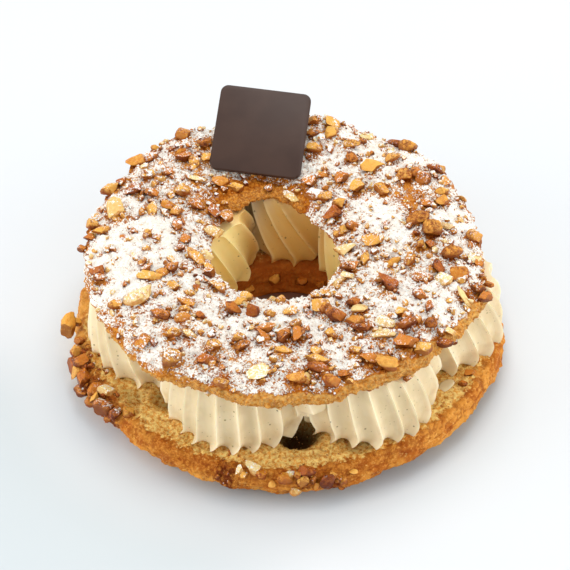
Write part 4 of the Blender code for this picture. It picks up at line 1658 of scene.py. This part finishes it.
# %% The strewing tree
def strewing_tree():
    """Strews samples over a surface, more where the named number on its points is higher."""
    inputs = (
        ("Surface", "Object"),
        ("Samples", "Collection"),
        ("Where", "String"),
        ("Least", "Float"),
        ("Per square metre", "Float"),
        ("Smallest", "Float"),
        ("Largest", "Float"),
        ("Flatness", "Float"),
        ("Sink", "Float"),
        ("Dust", "Float"),
        ("Seed", "Int"),
        ("Finish", "Material"),
    )
    bench = geometry_bench("strewn pieces", inputs)
    given = bench.given
    surface = bench.node("GeometryNodeObjectInfo", sockets={"Object": given["Surface"]}, output="Geometry")
    where = bench.node("GeometryNodeInputNamedAttribute", sockets={"Name": given["Where"]})
    share = bench.maths("MAXIMUM", (where - given["Least"]) / (1 - given["Least"]), 0.0)
    sockets = {"Mesh": surface, "Density": given["Per square metre"] * share, "Seed": given["Seed"]}
    points = bench.node("GeometryNodeDistributePointsOnFaces", sockets=sockets)
    normal = points.output("Normal")

    def luck(low, high, seed):
        sockets = {2: low, 3: high, "Seed": given["Seed"] + seed}
        return bench.node("FunctionNodeRandomValue", {"data_type": "FLOAT"}, sockets, 1)

    size = given["Smallest"] + (given["Largest"] - given["Smallest"]) * luck(0.0, 1.0, 1) ** 1.6
    height = size * given["Flatness"]
    offset = bench.scaled(normal, height * (0.5 - given["Sink"]))
    strewn = bench.node("GeometryNodeSetPosition", sockets={"Geometry": points, "Offset": offset})
    for name, value in (("tint", luck(0.0, 1.0, 2)), ("dust", given["Dust"] + luck(-0.3, 0.3, 3))):
        strewn = bench.node(
            "GeometryNodeStoreNamedAttribute",
            {"data_type": "FLOAT", "domain": "POINT"},
            {"Geometry": strewn, "Name": name, "Value": value},
        )
    sockets = {0: (-0.6, -0.6, 0.0), 1: (0.6, 0.6, math.tau), "Seed": given["Seed"] + 4}
    turn = bench.node("FunctionNodeRandomValue", {"data_type": "FLOAT_VECTOR"}, sockets)
    rotation = bench.node(
        "FunctionNodeRotateRotation",
        {"rotation_space": "LOCAL"},
        {0: points.output("Rotation"), 1: bench.node("FunctionNodeEulerToRotation", sockets={"Euler": turn})},
    )
    samples = bench.node(
        "GeometryNodeCollectionInfo",
        sockets={"Collection": given["Samples"], "Separate Children": True, "Reset Children": True},
    )
    sockets = {
        "Points": strewn,
        "Instance": samples,
        "Pick Instance": True,
        "Rotation": rotation,
        "Scale": bench.join(size, size * luck(0.55, 1.0, 5), height),
    }
    return deliver(bench, bench.node("GeometryNodeInstanceOnPoints", sockets=sockets))


strewing = strewing_tree()


STREWN_FLATNESS = 0.75  # height as a share of the length
STREWN_SINK = 0.25  # share of the height that is in the crust


def strew(name, surface, samples, where, count, sizes, finish, seed, slot, least=0.0, dust=0.75):
    """Strews pieces of these sizes in millimetres, this many in a square centimetre where the crust's number
    is 1 and none where it is at or below the least."""
    values = {
        "Surface": surface,
        "Samples": samples,
        "Where": where,
        "Least": least,
        "Per square metre": count * 10000.0,
        "Smallest": sizes[0] * MM,
        "Largest": sizes[1] * MM,
        "Flatness": STREWN_FLATNESS,
        "Sink": STREWN_SINK,
        "Dust": dust,
        "Seed": seed,
        "Finish": finish,
    }
    return keep(run_tree(name, strewing, values), slot)


strew(
    "amber_chips", lid_crust, small_chips, "topping", 5.0, (0.9, 2.8),
    nut_finishes["amber"], 31, "sugared_choux",
)
strew(
    "toasted_chips", lid_crust, small_chips, "topping", 2.2, (0.9, 2.6),
    nut_finishes["toasted"], 32, "sugared_choux",
)
strew(
    "almond_chips", lid_crust, small_chips, "topping", 1.6, (0.9, 2.6),
    nut_finishes["almond"], 33, "sugared_choux",
)
strew(
    "sugar_grains", lid_crust, specks_of_crust, "sugar", 260, (0.3, 0.75),
    grain_finish, 34, "sugared_choux", 0.2,
)
strew(
    "lid_crumbs", lid_crust, specks_of_crust, "torn", 60, (0.3, 0.8),
    crumb_finish, 35, "sugared_choux", 0.2,
)
strew(
    "base_chips", base_crust, small_chips, "caramel", 26, (0.8, 2.4),
    nut_finishes["toasted"], 37, "baked_choux", 0.3, 0.3,
)
strew(
    "base_crumbs", base_crust, specks_of_crust, "cut", 22, (0.3, 0.8),
    crumb_finish, 36, "baked_choux", 0.3,
)

# %% [markdown]
# ## Nuts that slid down onto the base
# While the ring baked, a few nuts slid off and stuck to the base: a caramelised cluster on the left, one nut
# that leans out by itself, and some at the front and the right. They are laid from outside, towards the axis.

# %% Nuts on the base's side
# bearing, radius, height, length, width, turn of the long side, sugar
SIDE_NUTS = {
    "amber": (
        (-77, 63.5, 10.0, 3.6, 3.2, 80, 0.2), (-70, 63.5, 7.5, 4.0, 3.2, 40, 0.0),
        (-62, 62.5, 5.0, 3.8, 3.2, 0, 0.1), (-60, 63.0, 8.0, 3.2, 2.8, 30, 0.1),
        (-6.7, 60.5, 8.6, 3.2, 2.6, 10, 0.1), (-0.7, 60.2, 7.0, 4.2, 3.2, -10, 0.1),
        (4.0, 60.5, 6.6, 3.0, 2.4, 40, 0.1), (13.9, 60.6, 5.0, 2.8, 2.2, 70, 0.1),
        (-49, 59.8, 10.0, 3.4, 3.0, 0, 0.1), (-54, 60.5, 4.0, 2.6, 2.2, 0, 0.1),
        (-11, 60.6, 7.5, 2.2, 1.8, 0, 0.3), (-4, 60.8, 5.5, 2.4, 2.0, 50, 0.0),
        (2.5, 60.4, 8.8, 2.2, 1.8, 20, 0.2), (7, 60.6, 4.5, 2.4, 2.0, 80, 0.0),
        (11.5, 60.6, 7.4, 2.2, 1.8, 10, 0.2), (17, 60.5, 7.0, 2.0, 1.6, 0, 0.0),
    ),
    "toasted": (
        (-80, 63.0, 11.0, 3.0, 2.4, 0, 0.1), (-74, 64.0, 7.5, 5.2, 4.2, 80, 0.1),
        (-72, 62.0, 10.5, 4.6, 4.0, 30, 0.0), (-67, 63.5, 9.0, 5.2, 4.2, 70, 0.1),
        (-65.5, 63.0, 5.0, 4.2, 3.6, 0, 0.2), (-62, 61.5, 9.5, 4.4, 3.6, 20, 0.2),
        (-56, 61.5, 7.0, 5.2, 4.4, -20, 0.5), (-52.5, 61.0, 7.5, 4.6, 3.8, 10, 0.4),
        (5, 60.2, 9.6, 4.4, 2.8, 10, 0.1), (10, 60.5, 6.5, 4.6, 3.4, 60, 0.1),
        (66, 57.8, 10.6, 3.6, 2.0, 10, 0.0), (71, 58.5, 10.6, 3.0, 2.0, 30, 0.0),
        (61, 58, 10.6, 2.6, 1.8, 0, 0.0),
    ),
    "almond": (
        (-59, 60.5, 11.0, 5.0, 3.0, -10, 0.6), (-9, 59.7, 9.2, 4.6, 3.4, -30, 0.35),
        (2, 61.0, 3.0, 3.2, 2.4, 10, 0.2), (-12.5, 60.0, 8.8, 3.0, 2.2, 20, 0.6),
        (0.5, 60.5, 9.0, 2.4, 1.8, 0, 0.5),
    ),
}
SIDE_AIM = math.radians(40)  # the rays slope down this much
SIDE_START = 8  # and start this many millimetres outside the place


def lay_on_side(name, rows, samples, finish, seed, sink=0.25):
    """Lays rows of nuts on the base from outside and above."""
    cloud = []
    for bearing, radius, height, length, width, turn, dust in rows:
        angle = math.radians(bearing)
        out = Vector((math.sin(angle), -math.cos(angle), 0))
        aim = out * -math.cos(SIDE_AIM) - Vector((0, 0, math.sin(SIDE_AIM)))
        start = (out * radius + Vector((0, 0, height))) * MM - aim * SIDE_START * MM
        cloud.append(
            {
                "from": start,
                "aim": aim,
                "size": (length * FULLER * MM, width * FULLER * MM, width * 0.95 * MM),
                "turn": math.radians(turn),
                "dust": dust,
            }
        )
    values = {"Surface": base_crust, "Samples": samples, "Sink": sink, "Seed": seed, "Finish": finish}
    return keep(run_tree(name, laying, values, point_cloud(name, cloud)), "baked_choux")


for number, (kind, rows) in enumerate(SIDE_NUTS.items()):
    lay_on_side(f"base_{kind}_nuts", rows, fine_chips, nut_finishes[kind], 41 + number)


# %% Nuts in the hole, and a smear of cream
# bearing, height, length, width, turn of the long side, sugar
HOLE_NUTS = {
    "amber": ((-169, 5.4, 4.6, 3.6, 70, 0.1), (-146, 4.0, 3.4, 2.6, 20, 0.0)),
    "toasted": ((168, 5.0, 4.4, 3.2, 40, 0.0), (150, 6.0, 3.6, 3.0, 0, 0.0)),
}
# to the right, to the back, length, width, turn of the long side, sugar
SMEAR = ((45.2, -28.8, 5.2, 3.0, 35, 0.0),)


def lay_in_hole(name, rows, samples, finish, seed):
    """Lays rows of nuts on the wall of the hole, from the ring's axis outwards."""
    cloud = []
    for bearing, height, length, width, turn, dust in rows:
        angle = math.radians(bearing)
        cloud.append(
            {
                "from": (0, 0, height * MM),
                "aim": (math.sin(angle), -math.cos(angle), 0),
                "size": (length * MM, width * MM, width * 0.9 * MM),
                "turn": math.radians(turn),
                "dust": dust,
            }
        )
    values = {"Surface": base_crust, "Samples": samples, "Sink": 0.3, "Seed": seed, "Finish": finish}
    return keep(run_tree(name, laying, values, point_cloud(name, cloud)), "baked_choux")


for number, (kind, rows) in enumerate(HOLE_NUTS.items()):
    lay_in_hole(f"hole_{kind}_nuts", rows, fine_chips, nut_finishes[kind], 51 + number)
lay_on_top("cream_smear", SMEAR, fine_kernels, cream_finish, 61, 0.2, 0.2, base_crust, "praline_cream")


# %% The nut that leans out at the left
LONE_NUT = (-85.0, 12.0, 64.8, 8.2, 4.6)  # bearing, height, distance of its middle, length, width
LONE_NUT_TILT = (-44, 12)  # degrees about the line to the right, and about the line to the back
CARAMEL_SIZE = (3.2, 2.4, 2.6)


def lean_out_nut():
    """A whole kernel on its end, leaning back against the base, and the lump of caramel that holds it."""
    bearing, height, distance, length, width = LONE_NUT
    angle = math.radians(bearing)
    out = Vector((math.sin(angle), -math.cos(angle), 0))
    middle = out * distance * MM + Vector((0, 0, height * MM))
    turn = Euler((math.radians(LONE_NUT_TILT[0]), math.radians(LONE_NUT_TILT[1]), 0)).to_matrix().to_4x4()
    bm = bmesh.new()
    caramel = out * -2.2 * MM + Vector((0.0002, 0.0010, 0))
    for place, size in ((Vector(), (width, width * 0.9, length)), (caramel, CARAMEL_SIZE)):
        sample = cut_nut("leaning_nut", 905, 2, 4, 0.015)
        for mark in sample.data.attributes["skin"].data:
            mark.value *= 0.3
        # the size is in millimetres and the place in metres: the last number keeps the place as it is
        stretched = Matrix.Translation(middle + place) @ turn @ Matrix.Diagonal((*size, 1 / MM))
        sample.data.transform(stretched * MM)
        bm.from_mesh(sample.data)
        bpy.data.objects.remove(sample)
    made = bpy.data.objects.new("leaning_nut", bpy.data.meshes.new("leaning_nut"))
    bm.to_mesh(made.data)
    bm.free()
    made.data.materials.append(nut_finishes["hazel"])
    bpy.context.collection.objects.link(made)
    print(f"leaning_nut: {len(made.data.vertices)} points")
    return keep(made, "baked_choux")


lean_out_nut()

# %% [markdown]
# ## The chocolate plaque
# A tile of tempered chocolate has small round corners and edges that are just broken. It is cut as a flat
# outline, given its thickness, and its rims are bevelled; then it is leant on the back of the lid. Its face
# stays plain.

# %% Casting the plaque
# millimetres, and degrees for the turns
PLAQUE_SIDE = 27.5
PLAQUE_THICKNESS = 1.7
PLAQUE_CORNER = 2.4
PLAQUE_PLACE = Vector((-8.1, 43.4, 45.3))  # middle of the upper face
PLAQUE_TURN, PLAQUE_TILT, PLAQUE_ROLL = -7.3, 27.0, 3.0


def cast_plaque():
    """The chocolate tile, leaning on the back of the lid."""
    half = PLAQUE_SIDE / 2 - PLAQUE_CORNER
    bm = bmesh.new()
    outline = []
    for quarter in range(4):
        corner = Matrix.Rotation(math.radians(90 * quarter), 3, "Z") @ Vector((half, half, 0))
        for step in range(9):
            angle = math.radians(90 * (quarter + step / 8))
            outline.append(corner + PLAQUE_CORNER * Vector((math.cos(angle), math.sin(angle), 0)))
    face = bm.faces.new([bm.verts.new(point * MM) for point in outline])
    made = bmesh.ops.extrude_face_region(bm, geom=[face])
    lower = [item for item in made["geom"] if isinstance(item, bmesh.types.BMVert)]
    bmesh.ops.translate(bm, verts=lower, vec=(0, 0, -PLAQUE_THICKNESS * MM))
    rims = [edge for edge in bm.edges if abs(edge.verts[0].co.z - edge.verts[1].co.z) < 0.01 * MM]
    bmesh.ops.bevel(bm, geom=rims, offset=0.3 * MM, segments=3, profile=0.5, affect="EDGES")
    bmesh.ops.recalc_face_normals(bm, faces=bm.faces)
    mesh = bpy.data.meshes.new("plaque")
    bm.to_mesh(mesh)
    bm.free()
    turn = Matrix.Rotation(math.radians(PLAQUE_TURN), 4, "Z")
    lean = Euler((math.radians(PLAQUE_TILT), math.radians(PLAQUE_ROLL), 0)).to_matrix().to_4x4()
    mesh.transform(Matrix.Translation(PLAQUE_PLACE * MM) @ turn @ lean)
    mesh.shade_smooth()
    mesh.set_sharp_from_angle(angle=math.radians(30))
    mesh.materials.append(chocolate_finish)
    piece = bpy.data.objects.new("plaque", mesh)
    bpy.context.collection.objects.link(piece)
    print(f"plaque: {len(mesh.vertices)} points, {PLAQUE_SIDE} mm wide")
    return keep(piece, "dark_chocolate", "chocolate_plaque")


cast_plaque()

# %% [markdown]
# ## The end
# The samples are put away, and the dressed pastry's box is printed beside the solids'. Looks may stand
# proud of them by a little, and no more.

# %% Sizes and the end
for box in list(bpy.data.collections):
    if box.name != "Collection":
        for sample in list(box.objects):
            bpy.data.objects.remove(sample)
        bpy.data.collections.remove(box)
low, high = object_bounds()
for axis, name in enumerate("xyz"):
    solid, dressed = cad_high[axis] - cad_low[axis], high[axis] - low[axis]
    print(f"{name}: solids {solid / MM:.1f} mm, dressed {dressed / MM:.1f} mm")
triangles = sum(len(piece.data.loops) - 2 * len(piece.data.polygons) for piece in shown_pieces())
print("triangles in all:", triangles)
